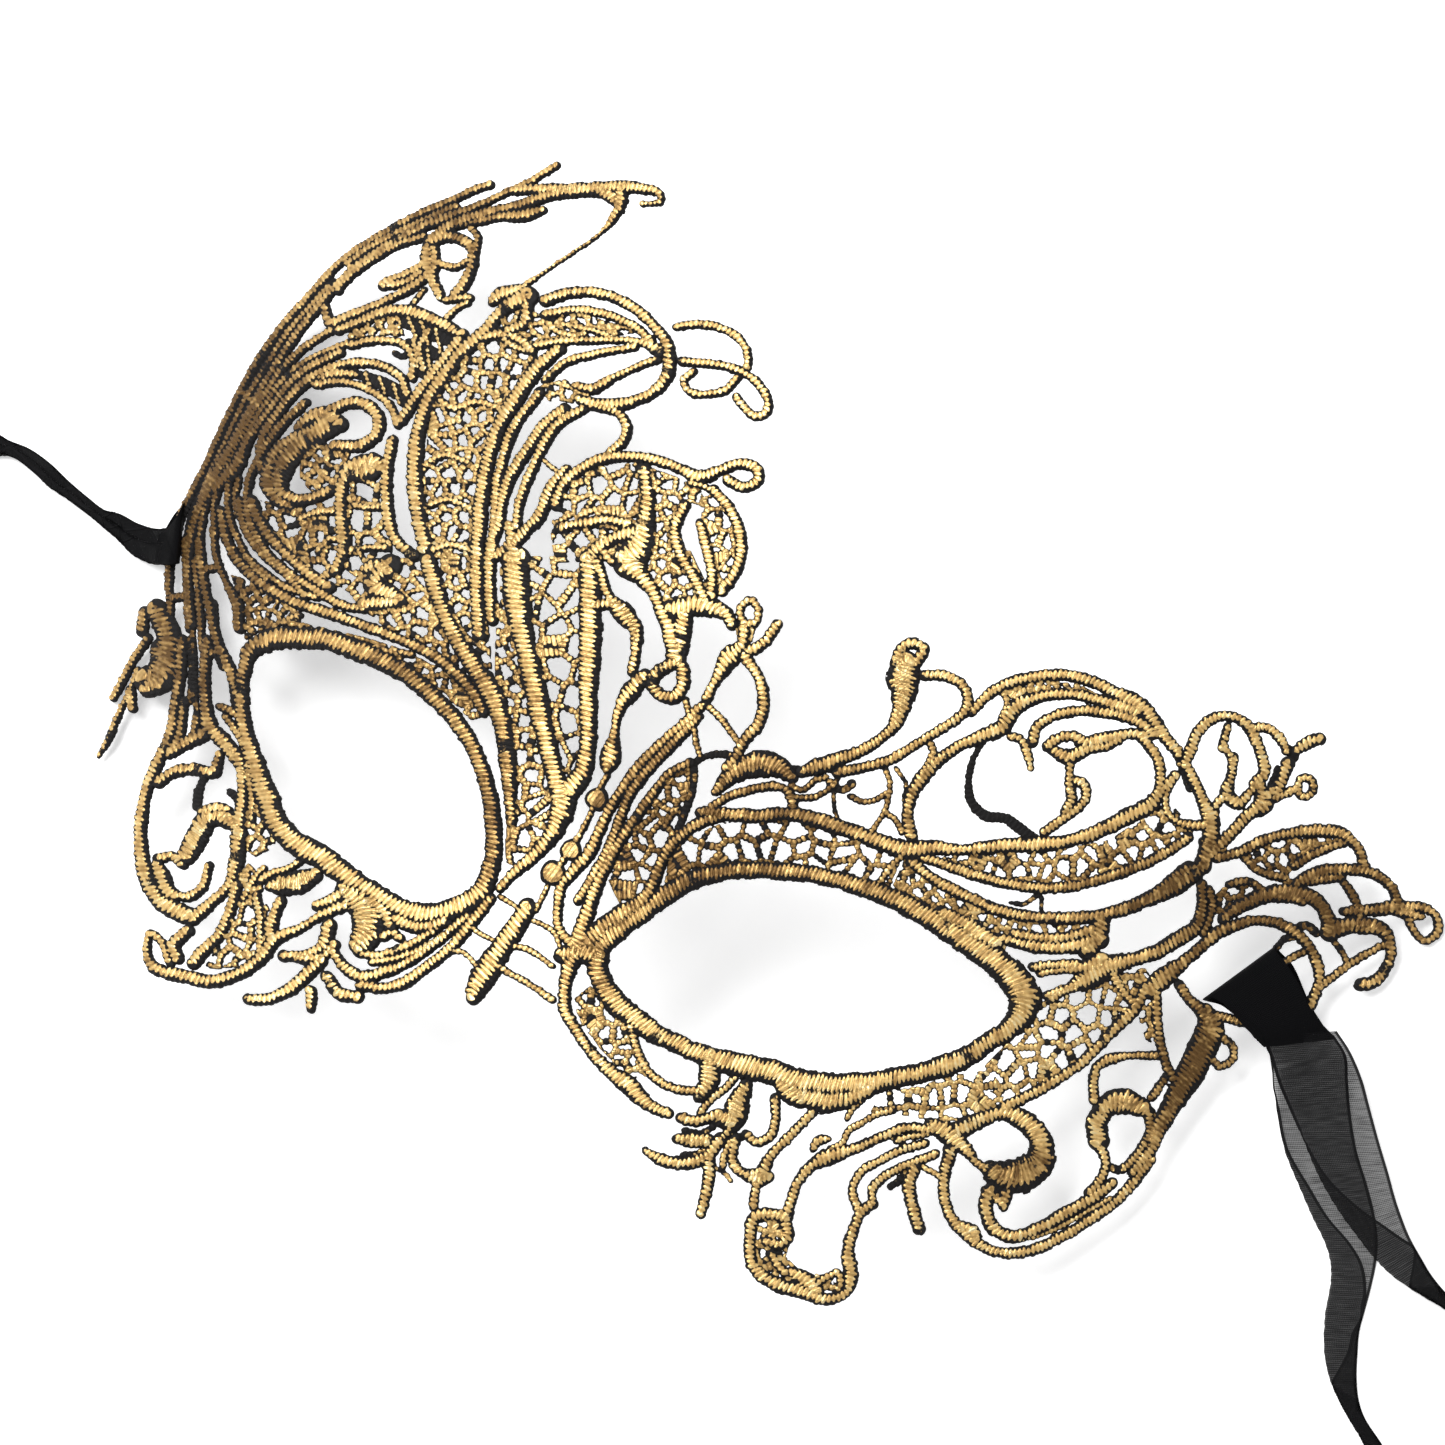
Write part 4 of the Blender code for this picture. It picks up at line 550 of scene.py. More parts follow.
c 6: 990,1228 1010,1238 1035,1236 1060,1226 1085,1212 1110,1198
@right_cheek_hook
c 20: 1100,1110,16 1110,1102,20 1126,1100,22 1142,1108,20
t 8: 1150,1110 1156,1120 1154,1132
t 8: 1092,1120 1094,1136 1098,1150
t 10: 1112,1168 1122,1170 1132,1160
@right_outer_band
N 14: 1118,975 1145,968 1158,985 1156,1020 1158,1048 1146,1040 1138,1015 1128,1000
c 26: 1206,1012,16 1208,1030,24 1200,1050,28 1188,1075,26 1174,1100,22 1160,1125,16 1150,1145,12
c 10: 1170,1072 1160,1086 1152,1098
@right_upper_plumes
c 10: 1224,745,10 1230,752,8 1235,760,10
k 12: 1288,748,10 1296,754,12 1290,765,10
c 9: 1298,790,8 1288,794,10 1276,798,12
k 8: 1280,768,7 1274,785,8 1268,800,9
c 10: 1242,721,9 1252,728,9 1262,728,9
@left_temple_cords
c 12: 225,655,10 233,674,12 239,692,12
k 9: 214,602,8 216,630,10 219,655,10 222,668,6
c 9: 220,706,8 230,710,9 240,716,9
k 8: 232,684,6 235,700,8 239,718,8 243,736,6
c 14: 230,746,14 239,758,14 245,773,12
@left_cheek_scroll
k 8: 206,776,8 200,790,9 198,806,10
k 8: 231,791,8 238,798,8 239,812,6
c 16: 224,818,18 235,824,16 243,834,12
@nose_stems
c 20: 516,562,20 513,542,14 509,525,10
@medallion
c 18: 590,560,18 600,547,16 620,536,14 640,530,12
@crest_loops
@crest_loops
k 18: 402,320,12 420,325,18 440,334,18 456,342,10
k 14: 409,343,12 426,350,15 444,357,10
k 11: 413,364,10 421,371,11 429,377,8
c 5: 409,316 417,338
c 5: 422,320 429,344
c 5: 436,327 441,352
c 5: 414,338 418,366
c 5: 428,348 431,370
k 13: 352,372,9 372,379,13 390,387,16 403,397,15 408,408,8
c 5: 366,372 371,388
c 5: 380,377 386,394
c 5: 394,383 400,404
t 6: 394,352 402,356 410,350
t 6: 396,372 404,380 412,372
"""


STEP = 0.95        # drafting units between samples
X0, Y0, X1, Y1 = 88.0, 150.0, 1452.0, 1312.0
NX, NY = int((X1 - X0) / STEP) + 1, int((Y1 - Y0) / STEP) + 1
GX, GY = X0 + np.arange(NX) * STEP, Y0 + np.arange(NY) * STEP


def read_motifs(text):
    motifs, name = {}, None
    for line in text.strip().splitlines():
        line = line.split("#")[0].strip()
        if not line:
            continue
        if line.startswith("@"):
            name = line[1:]
            motifs.setdefault(name, [])
            continue
        head, _, rest = line.partition(":")
        kind, width = head.split()
        points = []
        for word in rest.split():
            v = [float(n) for n in word.split(",")]
            points.append((v[0], v[1], v[2] if len(v) > 2 else float(width)))
        motifs[name].append((kind, float(width), np.array(points)))
    return motifs


def smooth(kind, pts, step=2.0):
    """A smooth line through the points, with their widths, and its length at each point."""
    closed = kind == "R" or (len(pts) > 3 and np.hypot(*(pts[0, :2] - pts[-1, :2])) < 1)
    if closed and kind != "R":
        pts = pts[:-1]
    n = len(pts)
    if n == 2 and not closed:
        mid = pts.mean(axis=0)
        pts = np.array([pts[0], mid, pts[1]])
        n = 3
    out = []
    for i in range(n if closed else n - 1):
        if closed:
            p0, p1, p2, p3 = (pts[(i + k) % n] for k in (-1, 0, 1, 2))
        else:
            p1, p2 = pts[i], pts[i + 1]
            p0 = pts[i - 1] if i > 0 else 2 * p1 - p2
            p3 = pts[i + 2] if i + 2 < n else 2 * p2 - p1
        # centripetal steps keep uneven spacing from overshooting
        d = [max(1e-3, np.hypot(*(b[:2] - a[:2]))) ** 0.5 for a, b in ((p0, p1), (p1, p2), (p2, p3))]
        m1 = (p2 - p1) + d[1] * ((p1 - p0) / d[0] - (p2 - p0) / (d[0] + d[1]))
        m2 = (p2 - p1) + d[1] * ((p3 - p2) / d[2] - (p3 - p1) / (d[1] + d[2]))
        count = max(2, int(np.ceil(np.hypot(*(p2[:2] - p1[:2])) / step)))
        for k in range(count):
            t = k / count
            out.append((2 * t**3 - 3 * t**2 + 1) * p1 + (t**3 - 2 * t**2 + t) * m1 + (-2 * t**3 + 3 * t**2) * p2 + (t**3 - t**2) * m2)
    out.append(out[0] if closed else pts[-1])
    line = np.array(out)
    seg = np.hypot(*np.diff(line[:, :2], axis=0).T)
    return line, np.concatenate([[0], np.cumsum(seg)])


def chance(a, b=0.0, c=0.0):
    """A steady random number from 0 to 1 for each place."""
    v = np.sin(np.asarray(a) * 127.1 + np.asarray(b) * 311.7 + c * 74.7) * 43758.5453
    return v - np.floor(v)


def waves(x, y, scale, seed):
    """Smooth value noise from 0 to 1."""
    u, v = x / scale, y / scale
    i, j = np.floor(u), np.floor(v)
    f, g = u - i, v - j
    f, g = f * f * (3 - 2 * f), g * g * (3 - 2 * g)
    a, b = chance(i, j, seed), chance(i + 1, j, seed)
    c, d = chance(i, j + 1, seed), chance(i + 1, j + 1, seed)
    return (a * (1 - f) + b * f) * (1 - g) + (c * (1 - f) + d * f) * g


H = np.zeros((NY, NX), np.float32)       # relief height over the ground, mm
DOME = np.zeros((NY, NX), np.float32)    # the same without the stitches
F = np.full((NY, NX), -2.0, np.float32)  # distance inside the outline, drafting units
OWN = np.full((NY, NX), -1, np.int16)    # which motif
GOLD = np.zeros((NY, NX), np.float32)    # how much foil shows
TONE = np.zeros((NY, NX), np.float32)    # how worn the foil is, plus painted shade in the stitch grooves, on the cord edges and in broad blobs
THREAD = np.zeros((NY, NX), np.float32)  # place along the cord, mm
PITCH = 4.8                              # drafting units from stitch bundle to stitch bundle


def put(rows, cols, motif, f, h, dome, gold, tone, thread):
    """Lays one shape over the sheet: the outline is the union, the surface the higher of the two."""
    inside = f > 0
    F[rows, cols] = np.maximum(F[rows, cols], f)
    win = inside & (h > H[rows, cols])
    for grid, value in ((H, h), (DOME, dome), (GOLD, gold), (TONE, tone), (THREAD, thread)):
        grid[rows, cols] = np.where(win, value, grid[rows, cols])
    OWN[rows, cols] = np.where(inside & ((OWN[rows, cols] < 0) | win), motif, OWN[rows, cols])


def draw_cord(motif, number, kind, pts):
    line, run = smooth(kind, pts)
    pad = pts[:, 2].max() / 2 + 4
    cx0 = max(int((line[:, 0].min() - pad - X0) / STEP), 0)
    cx1 = min(int((line[:, 0].max() + pad - X0) / STEP) + 2, NX)
    cy0 = max(int((line[:, 1].min() - pad - Y0) / STEP), 0)
    cy1 = min(int((line[:, 1].max() + pad - Y0) / STEP) + 2, NY)
    rows, cols = slice(cy0, cy1), slice(cx0, cx1)
    shape = (cy1 - cy0, cx1 - cx0)
    best = np.full(shape, 1e9)
    s = np.zeros(shape)
    side = np.zeros(shape)
    w = np.ones(shape)
    shade = np.zeros(shape)
    for i in range(len(line) - 1):
        a, b = line[i], line[i + 1]
        reach = max(a[2], b[2]) / 2 + 4
        wx0 = max(int((min(a[0], b[0]) - reach - X0) / STEP) - cx0, 0)
        wx1 = int((max(a[0], b[0]) + reach - X0) / STEP) + 2 - cx0
        wy0 = max(int((min(a[1], b[1]) - reach - Y0) / STEP) - cy0, 0)
        wy1 = int((max(a[1], b[1]) + reach - Y0) / STEP) + 2 - cy0
        px = GX[cx0:cx1][wx0:wx1][None, :]
        py = GY[cy0:cy1][wy0:wy1][:, None]
        dx, dy = b[0] - a[0], b[1] - a[1]
        ll = max(dx * dx + dy * dy, 1e-9)
        t = np.clip(((px - a[0]) * dx + (py - a[1]) * dy) / ll, 0, 1)
        ex, ey = px - a[0] - t * dx, py - a[1] - t * dy
        d2 = ex * ex + ey * ey
        ww = (a[2] + (b[2] - a[2]) * t) / 2
        view = best[wy0:wy1, wx0:wx1]
        near = d2 / (ww * ww) < view
        view[near] = (d2 / (ww * ww))[near]
        s[wy0:wy1, wx0:wx1][near] = (run[i] + t * (run[i + 1] - run[i]))[near]
        side[wy0:wy1, wx0:wx1][near] = (np.sign(dx * (py - a[1]) - dy * (px - a[0])) * np.sqrt(d2))[near]
        w[wy0:wy1, wx0:wx1][near] = ww[near]
        shade[wy0:wy1, wx0:wx1][near] = ((0.55 * ex + 0.83 * ey) / np.sqrt(d2 + 1e-9))[near]
    live = best < 1e8
    px, py = np.broadcast_arrays(GX[cols][None, :], GY[rows][:, None])
    d = np.abs(side)
    thin = kind in "tk"
    pitch = PITCH * (0.92 + 0.16 * chance(number, motif, 3.0))
    lean = 0.22 if not thin else 0.05
    along = (s + lean * side + 1.1 * (waves(px, py, 11.0, 5.0) - 0.5)) / pitch
    stitch = np.floor(along)
    way = np.sign(side)
    ragged = chance(stitch, number * 3.1 + way, 1.0) - 0.5
    wide = w * (1 + 0.09 * ragged) + 0.9 * ragged + (0.7 * (waves(px, py, 16.0, 2.0) - 0.5)) + (0.15 if not thin else 0.0)
    # the stitches round off between bundles, so the outline is finely scalloped
    part = along - stitch
    crown = 0.5 - 0.5 * np.cos(2 * math.pi * part)
    wide = wide - 0.55 * (1 - crown)
    u = np.clip(d / np.maximum(wide, 0.5), 0, 1)
    dome = np.sqrt(np.maximum(0, 1 - u * u))
    tall = np.minimum(0.60, 0.20 + 0.062 * w) if not thin else 0.22
    base = 0.10 + tall * dome**0.75
    loft = chance(stitch, number, 7.0)
    h = base + (0.15 * (crown - 0.62) + 0.09 * (loft - 0.5)) * np.minimum(1, dome * 1.4)
    h = h + 0.03 * (waves(px, py, 1.9, 9.0) - 0.5)
    if kind == "k":
        gold = np.zeros(shape)
    elif thin:
        gold = np.clip(3.0 * waves(px, py, 5.0, 4.0) - 1.5, 0, 1) * np.clip((0.8 - u) * 5, 0, 1)
    else:
        edge = 1.02 - 0.16 * np.clip(shade + 0.25, 0, 1) - 0.26 * chance(stitch, number + way * 1.7, 4.0) - 0.12 * waves(px, py, 7.0, 6.0) - 0.36 * (1 - crown)
        gold = np.clip((edge - u) * 7.0, 0, 1)
        gap = np.clip((0.30 - crown) * 5, 0, 1) * np.clip((chance(stitch, number, 8.0) + 0.7 * u - 0.72) * 4, 0, 1)
        gold = gold * (1 - 0.9 * gap)
        bare = np.clip((waves(px, py, 22.0, 12.0) - 0.78) * 7, 0, 1) * np.clip((chance(stitch, number, 9.0) - 0.35) * 4, 0, 1)
        gold = gold * (1 - 0.7 * bare)
    # painted shade: the tone rises in the grooves between stitch bundles and towards the cord's sloping edges; the rest
    # is random tone
    tone = 0.36 * chance(stitch, number, 2.0) + 0.42 * (waves(px, py, 2.6, 8.0) - 0.12) + 0.24 * (1 - crown) + 0.12 * u * u
    f = np.where(live, wide - d, -2.0)
    put(rows, cols, motif, np.maximum(f, -2.0), h, base, gold, tone, (s + 0.3 * side) * UNIT)


def draw_disc(motif, number, pts):
    x, y, r = pts[0]
    cx0, cx1 = int((x - r - 4 - X0) / STEP), int((x + r + 4 - X0) / STEP) + 2
    cy0, cy1 = int((y - r - 4 - Y0) / STEP), int((y + r + 4 - Y0) / STEP) + 2
    rows, cols = slice(cy0, cy1), slice(cx0, cx1)
    px, py = np.broadcast_arrays(GX[cols][None, :], GY[rows][:, None])
    dx, dy = px - x, py - y
    d = np.hypot(dx, dy)
    a = np.arctan2(dy, dx)
    wide = r * (1 + 0.05 * np.sin(3 * a + number) + 0.05 * (chance(np.floor(a * r / 4.5), number) - 0.5))
    u = np.clip(d / wide, 0, 1)
    dome = np.sqrt(np.maximum(0, 1 - u * u))
    along = (0.8 * dx + 0.6 * dy) / 4.4
    crown = 0.5 - 0.5 * np.cos(2 * math.pi * along)
    base = 0.10 + 0.55 * dome**0.8
    h = base + 0.07 * (crown - 0.5) * np.minimum(1, dome * 1.5)
    gold = np.clip((0.85 - u - 0.1 * chance(np.floor(along), number, 2.0)) * 6, 0, 1)
    put(rows, cols, motif, np.maximum(wide - d, -2.0), h, base, gold, 0.5 * chance(np.floor(along), number) + 0.5 * waves(px, py, 3.0, 8.0), along * 4.4 * UNIT)


def draw_net(motif, number, spacing, pts):
    """A knobbly net inside an outline: threads along the borders of jittered cells."""
    poly = pts[:, :2]
    cx0, cx1 = max(int((poly[:, 0].min() - X0) / STEP) - 1, 0), min(int((poly[:, 0].max() - X0) / STEP) + 2, NX)
    cy0, cy1 = max(int((poly[:, 1].min() - Y0) / STEP) - 1, 0), min(int((poly[:, 1].max() - Y0) / STEP) + 2, NY)
    rows, cols = slice(cy0, cy1), slice(cx0, cx1)
    px, py = (a.astype(float) for a in np.broadcast_arrays(GX[cols][None, :], GY[rows][:, None]))
    inside = np.zeros(px.shape, bool)
    for (ax, ay), (bx, by) in zip(poly, np.roll(poly, -1, axis=0)):
        if ay != by:
            hit = ((ay > py) != (by > py)) & (px < (bx - ax) * (py - ay) / (by - ay) + ax)
            inside ^= hit
    wx = px + 3.5 * (waves(px, py, 26.0, number + 1.0) - 0.5)
    wy = py + 3.5 * (waves(px, py, 26.0, number + 2.0) - 0.5)
    ci, cj = np.floor(wx / spacing), np.floor(wy / spacing)
    dist, sx, sy = [], [], []
    for i in (-2, -1, 0, 1, 2):
        for j in (-1, 0, 1):
            jj = cj + j
            ii = ci + i
            kx = (ii + 0.5 * (jj % 2) + 0.08 + 0.84 * chance(ii, jj, number + 3.0)) * spacing
            ky = (jj + 0.08 + 0.84 * chance(ii, jj, number + 4.0)) * spacing
            dist.append(np.hypot(wx - kx, wy - ky))
            sx.append(kx)
            sy.append(ky)
    dist, sx, sy = np.array(dist), np.array(sx), np.array(sy)
    order = np.argsort(dist, axis=0)[:3]
    f1, f2, f3 = (np.take_along_axis(dist, order[k:k + 1], 0)[0] for k in range(3))
    ax, ay = (np.take_along_axis(v, order[0:1], 0)[0] for v in (sx, sy))
    bx, by = (np.take_along_axis(v, order[1:2], 0)[0] for v in (sx, sy))
    gx, gy = bx - ax, by - ay
    gl = np.maximum(np.hypot(gx, gy), 1e-6)
    d = (f2 * f2 - f1 * f1) / (2 * gl)
    q = ((wx - (ax + bx) / 2) * -gy + (wy - (ay + by) / 2) * gx) / gl
    q = np.where(gx + 1.7 * gy > 0, q, -q)
    pair = chance(np.round(ax + bx), np.round(ay + by), number)
    along = q / 4.8 + pair
    bead = 0.5 - 0.5 * np.cos(2 * math.pi * along)
    knot = np.exp(-np.maximum(f3 - f1, 0) / 3.2)
    wide = 2.9 + 1.1 * bead + 2.4 * knot + 1.8 * (pair - 0.5) + 1.0 * (waves(px, py, 8.0, 7.0) - 0.5)
    wide = wide + 9.0 * (chance(ax, ay, 6.0) > 0.90)
    u = np.clip(d / wide, 0, 1)
    dome = np.sqrt(np.maximum(0, 1 - u * u))
    base = 0.08 + (0.22 + 0.14 * knot) * dome**0.8
    h = base + 0.13 * (bead - 0.5) * dome
    beadno = np.floor(along)
    gold = np.clip((0.95 - u - 0.40 * chance(beadno, pair * 9, 2.0)) * 5, 0, 1) * np.clip(0.30 + 1.1 * bead + 0.5 * knot, 0, 1)
    gold = gold * np.clip((chance(beadno, pair * 7, 5.0) + 0.9 * knot - 0.16) * 5, 0, 1)
    # painted shade: the tone rises on the low thread between the beads; the rest is random tone
    tone = 0.5 * chance(beadno, pair * 5) + 0.3 * waves(px, py, 3.0, 8.0) + 0.25 * (1 - bead)
    f = np.where(inside, wide - d, -2.0)
    put(rows, cols, motif, np.maximum(f, -2.0), h, base, gold, tone, q * UNIT)


motifs = read_motifs(MOTIFS)
names = list(motifs)
count = 0
for m, name in enumerate(names):
    for kind, width, pts in motifs[name]:
        count += 1
        if kind == "C":
            draw_disc(m, count, np.array([[pts[0][0], pts[0][1], pts[0][2] if len(pts[0]) > 2 else width]]))
        elif kind == "N":
            draw_net(m, count, width, pts)
        else:
            draw_cord(m, count, kind, pts)

# painted shade: the foil darker and browner where the lace turns from the light, such as the left bundle, the eye rims
# and the right fan: x, y, reach along x and y, how much
PAINTED_SHADE_BLOBS = [(235, 430, 95, 200, 0.70), (190, 640, 60, 120, 0.45), (450, 215, 150, 45, 0.45), (400, 680, 120, 45, 0.45), (492, 810, 26, 95, 0.55),
        (790, 795, 140, 70, 0.50), (640, 790, 55, 95, 0.40), (1310, 905, 150, 75, 0.65), (1190, 1085, 50, 105, 0.75), (1020, 1168, 50, 30, 0.45),
        (1130, 890, 110, 40, 0.40), (700, 880, 90, 40, 0.40), (850, 900, 120, 30, 0.30), (590, 960, 40, 40, 0.35)]
sheet_x, sheet_y = np.meshgrid(GX, GY)
for x, y, rx, ry, much in PAINTED_SHADE_BLOBS:
    TONE += (much * np.exp(-((sheet_x - x) / rx) ** 2 - ((sheet_y - y) / ry) ** 2)).astype(np.float32)

# stray specks and pinched corners
inside = F > 0
for _ in range(2):
    a, b, c, d = inside[:-1, :-1], inside[:-1, 1:], inside[1:, :-1], inside[1:, 1:]
    cross = (a & d & ~b & ~c) | (b & c & ~a & ~d)
    ys, xs = np.nonzero(cross)
    for oy, ox in ((0, 0), (0, 1), (1, 0), (1, 1)):
        yy, xx = ys + oy, xs + ox
        add = ~inside[yy, xx]
        inside[yy[add], xx[add]] = True
        F[yy[add], xx[add]] = 0.05
        near = np.stack([OWN[np.clip(yy + e, 0, NY - 1), np.clip(xx + g, 0, NX - 1)] for e in (-1, 0, 1) for g in (-1, 0, 1)]).max(axis=0)
        OWN[yy[add], xx[add]] = np.where(OWN[yy[add], xx[add]] < 0, near[add], OWN[yy[add], xx[add]])
        H[yy[add], xx[add]] = np.maximum(H[yy[add], xx[add]], 0.1)

# ---- from the drawing to meshes: one corner in each cell of four samples, one face for each sample -------
cell_in = np.stack([inside[:-1, :-1], inside[:-1, 1:], inside[1:, :-1], inside[1:, 1:]])
used = cell_in.any(axis=0)
cy, cx = np.nonzero(used)
number = np.full(used.shape, -1, np.int64)
number[cy, cx] = np.arange(len(cy))
corner = [(0, 0), (0, 1), (1, 0), (1, 1)]
vals = {k: np.stack([g[cy + oy, cx + ox] for oy, ox in corner]) for k, g in
        (("F", F), ("H", H), ("D", DOME), ("G", GOLD), ("T", TONE), ("S", THREAD))}
inn = np.stack([inside[cy + oy, cx + ox] for oy, ox in corner])
full = inn.all(axis=0)
vx, vy = GX[cx] + STEP / 2, GY[cy] + STEP / 2
# on the outline the corner moves to the middle of the places where the outline crosses the cell's sides
sx, sy, sn = np.zeros(len(cx)), np.zeros(len(cx)), np.zeros(len(cx))
for a, b in ((0, 1), (2, 3), (0, 2), (1, 3)):
    fa, fb = vals["F"][a], vals["F"][b]
    crossing = inn[a] != inn[b]
    t = np.clip(fa / np.where(np.abs(fa - fb) < 1e-6, 1e-6, fa - fb), 0.05, 0.95)
    ay, ax = corner[a]
    by, bx = corner[b]
    sx += np.where(crossing, ax + (bx - ax) * t, 0)
    sy += np.where(crossing, ay + (by - ay) * t, 0)
    sn += crossing
edge_cell = sn > 0
vx = np.where(edge_cell, GX[cx] + STEP * sx / np.maximum(sn, 1), vx)
vy = np.where(edge_cell, GY[cy] + STEP * sy / np.maximum(sn, 1), vy)
weight = inn / inn.sum(axis=0)
top = (vals["H"] * weight).sum(axis=0)
dome = (vals["D"] * weight).sum(axis=0)
gold = (vals["G"] * weight).sum(axis=0)
tone = (vals["T"] * weight).sum(axis=0)
pick = np.argmax(np.where(inn, vals["H"], -1), axis=0)
thread = np.take_along_axis(vals["S"], pick[None], 0)[0]
top = np.where(edge_cell, 0.10 + 0.25 * (top - 0.10), top)
gold = np.where(edge_cell, gold * 0.3, gold)
q, n = on_shell(np.stack([vx, vy], axis=1))
GROUND = -0.16
top_pts = (q + n * (GROUND + top)[:, None]) / 1000.0
bottom_pts = (q + n * (GROUND - 0.14 - 0.42 * np.where(edge_cell, 0.1, dome))[:, None]) / 1000.0


def mesh_object(name, verts, quads, smooth_faces=None):
    mesh = bpy.data.meshes.new(name)
    mesh.vertices.add(len(verts))
    mesh.vertices.foreach_set("co", np.asarray(verts, np.float32).ravel())
    mesh.loops.add(4 * len(quads))
    mesh.loops.foreach_set("vertex_index", np.asarray(quads, np.int32).ravel())
    mesh.polygons.add(len(quads))
    mesh.polygons.foreach_set("loop_start", np.arange(len(quads), dtype=np.int32) * 4)
    if smooth_faces is None:
        smooth_faces = np.ones(len(quads), bool)
    mesh.polygons.foreach_set("use_smooth", smooth_faces)
    mesh.update(calc_edges=True)
    mesh.validate()
    obj = bpy.data.objects.new(name, mesh)
    bpy.context.collection.objects.link(obj)
    return obj


def float_layer(mesh, name, values):
    layer = mesh.attributes.new(name, "FLOAT", "POINT")
    layer.data.foreach_set("value", np.asarray(values, np.float32))


lace = {}
py_, px_ = np.nonzero(inside[1:-1, 1:-1])
py_, px_ = py_ + 1, px_ + 1
own = OWN[py_, px_]
for m, name in enumerate(names):
    sel = own == m
    jy, jx = py_[sel], px_[sel]
    # the four cells round a sample, turned so that the face looks out of the mask
    ring = np.stack([number[jy - 1, jx - 1], number[jy, jx - 1], number[jy, jx], number[jy - 1, jx]], axis=1)
    mine = np.zeros((NY, NX), bool)
    mine[jy, jx] = True
    sides = []
    for (oy, ox), (a, b) in (((-1, 0), (3, 0)), ((0, -1), (0, 1)), ((1, 0), (1, 2)), ((0, 1), (2, 3))):
        open_side = ~mine[jy + oy, jx + ox]
        sides.append(ring[open_side][:, [a, b]])
    sides = np.concatenate(sides)
    ids, back = np.unique(ring, return_inverse=True)
    ring = back.reshape(ring.shape)
    sides = np.searchsorted(ids, sides)
    k = len(ids)
    verts = np.concatenate([top_pts[ids], bottom_pts[ids]])
    quads = np.concatenate([ring, ring[:, ::-1] + k, np.stack([sides[:, 1], sides[:, 0], sides[:, 0] + k, sides[:, 1] + k], axis=1)])
    flat = np.ones(len(quads), bool)
    flat[2 * len(ring):] = False
    obj = mesh_object(name + "_lace", verts, quads, flat)
    float_layer(obj.data, "gold", np.concatenate([gold[ids], 0.30 * gold[ids]]))
    float_layer(obj.data, "tone", np.concatenate([tone[ids], tone[ids]]))
    float_layer(obj.data, "thread", np.concatenate([thread[ids], thread[ids]]))
    lace[name] = obj
    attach(obj, "mask")
    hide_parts(name)

# ---- materials --------------------------------------------------------------------------------------


def new_material(name):
    mat = bpy.data.materials.new(name)
    mat.use_nodes = True
    tree = mat.node_tree
    bsdf = next(n for n in tree.nodes if n.type == "BSDF_PRINCIPLED")
    return mat, tree, bsdf


def node(tree, kind, **settings):
    n = tree.nodes.new(kind)
    for k, v in settings.items():
        setattr(n, k, v)
    return n


def math_node(tree, op, a, b=None, clamp=False):
    n = node(tree, "ShaderNodeMath", operation=op, use_clamp=clamp)
    for i, v in enumerate((a, b)):
        if v is None:
            continue
        if isinstance(v, (int, float)):
            n.inputs[i].default_value = v
        else:
            tree.links.new(v, n.inputs[i])
    return n.outputs[0]


def mix_colour(tree, fac, a, b):
    n = node(tree, "ShaderNodeMix", data_type="RGBA")
    for socket, v in ((n.inputs[0], fac), (n.inputs[6], a), (n.inputs[7], b)):
        if isinstance(v, (tuple, list)):
            socket.default_value = (*v, 1.0)
        elif isinstance(v, (int, float)):
            socket.default_value = v
        else:
            tree.links.new(v, socket)
    return n.outputs[2]


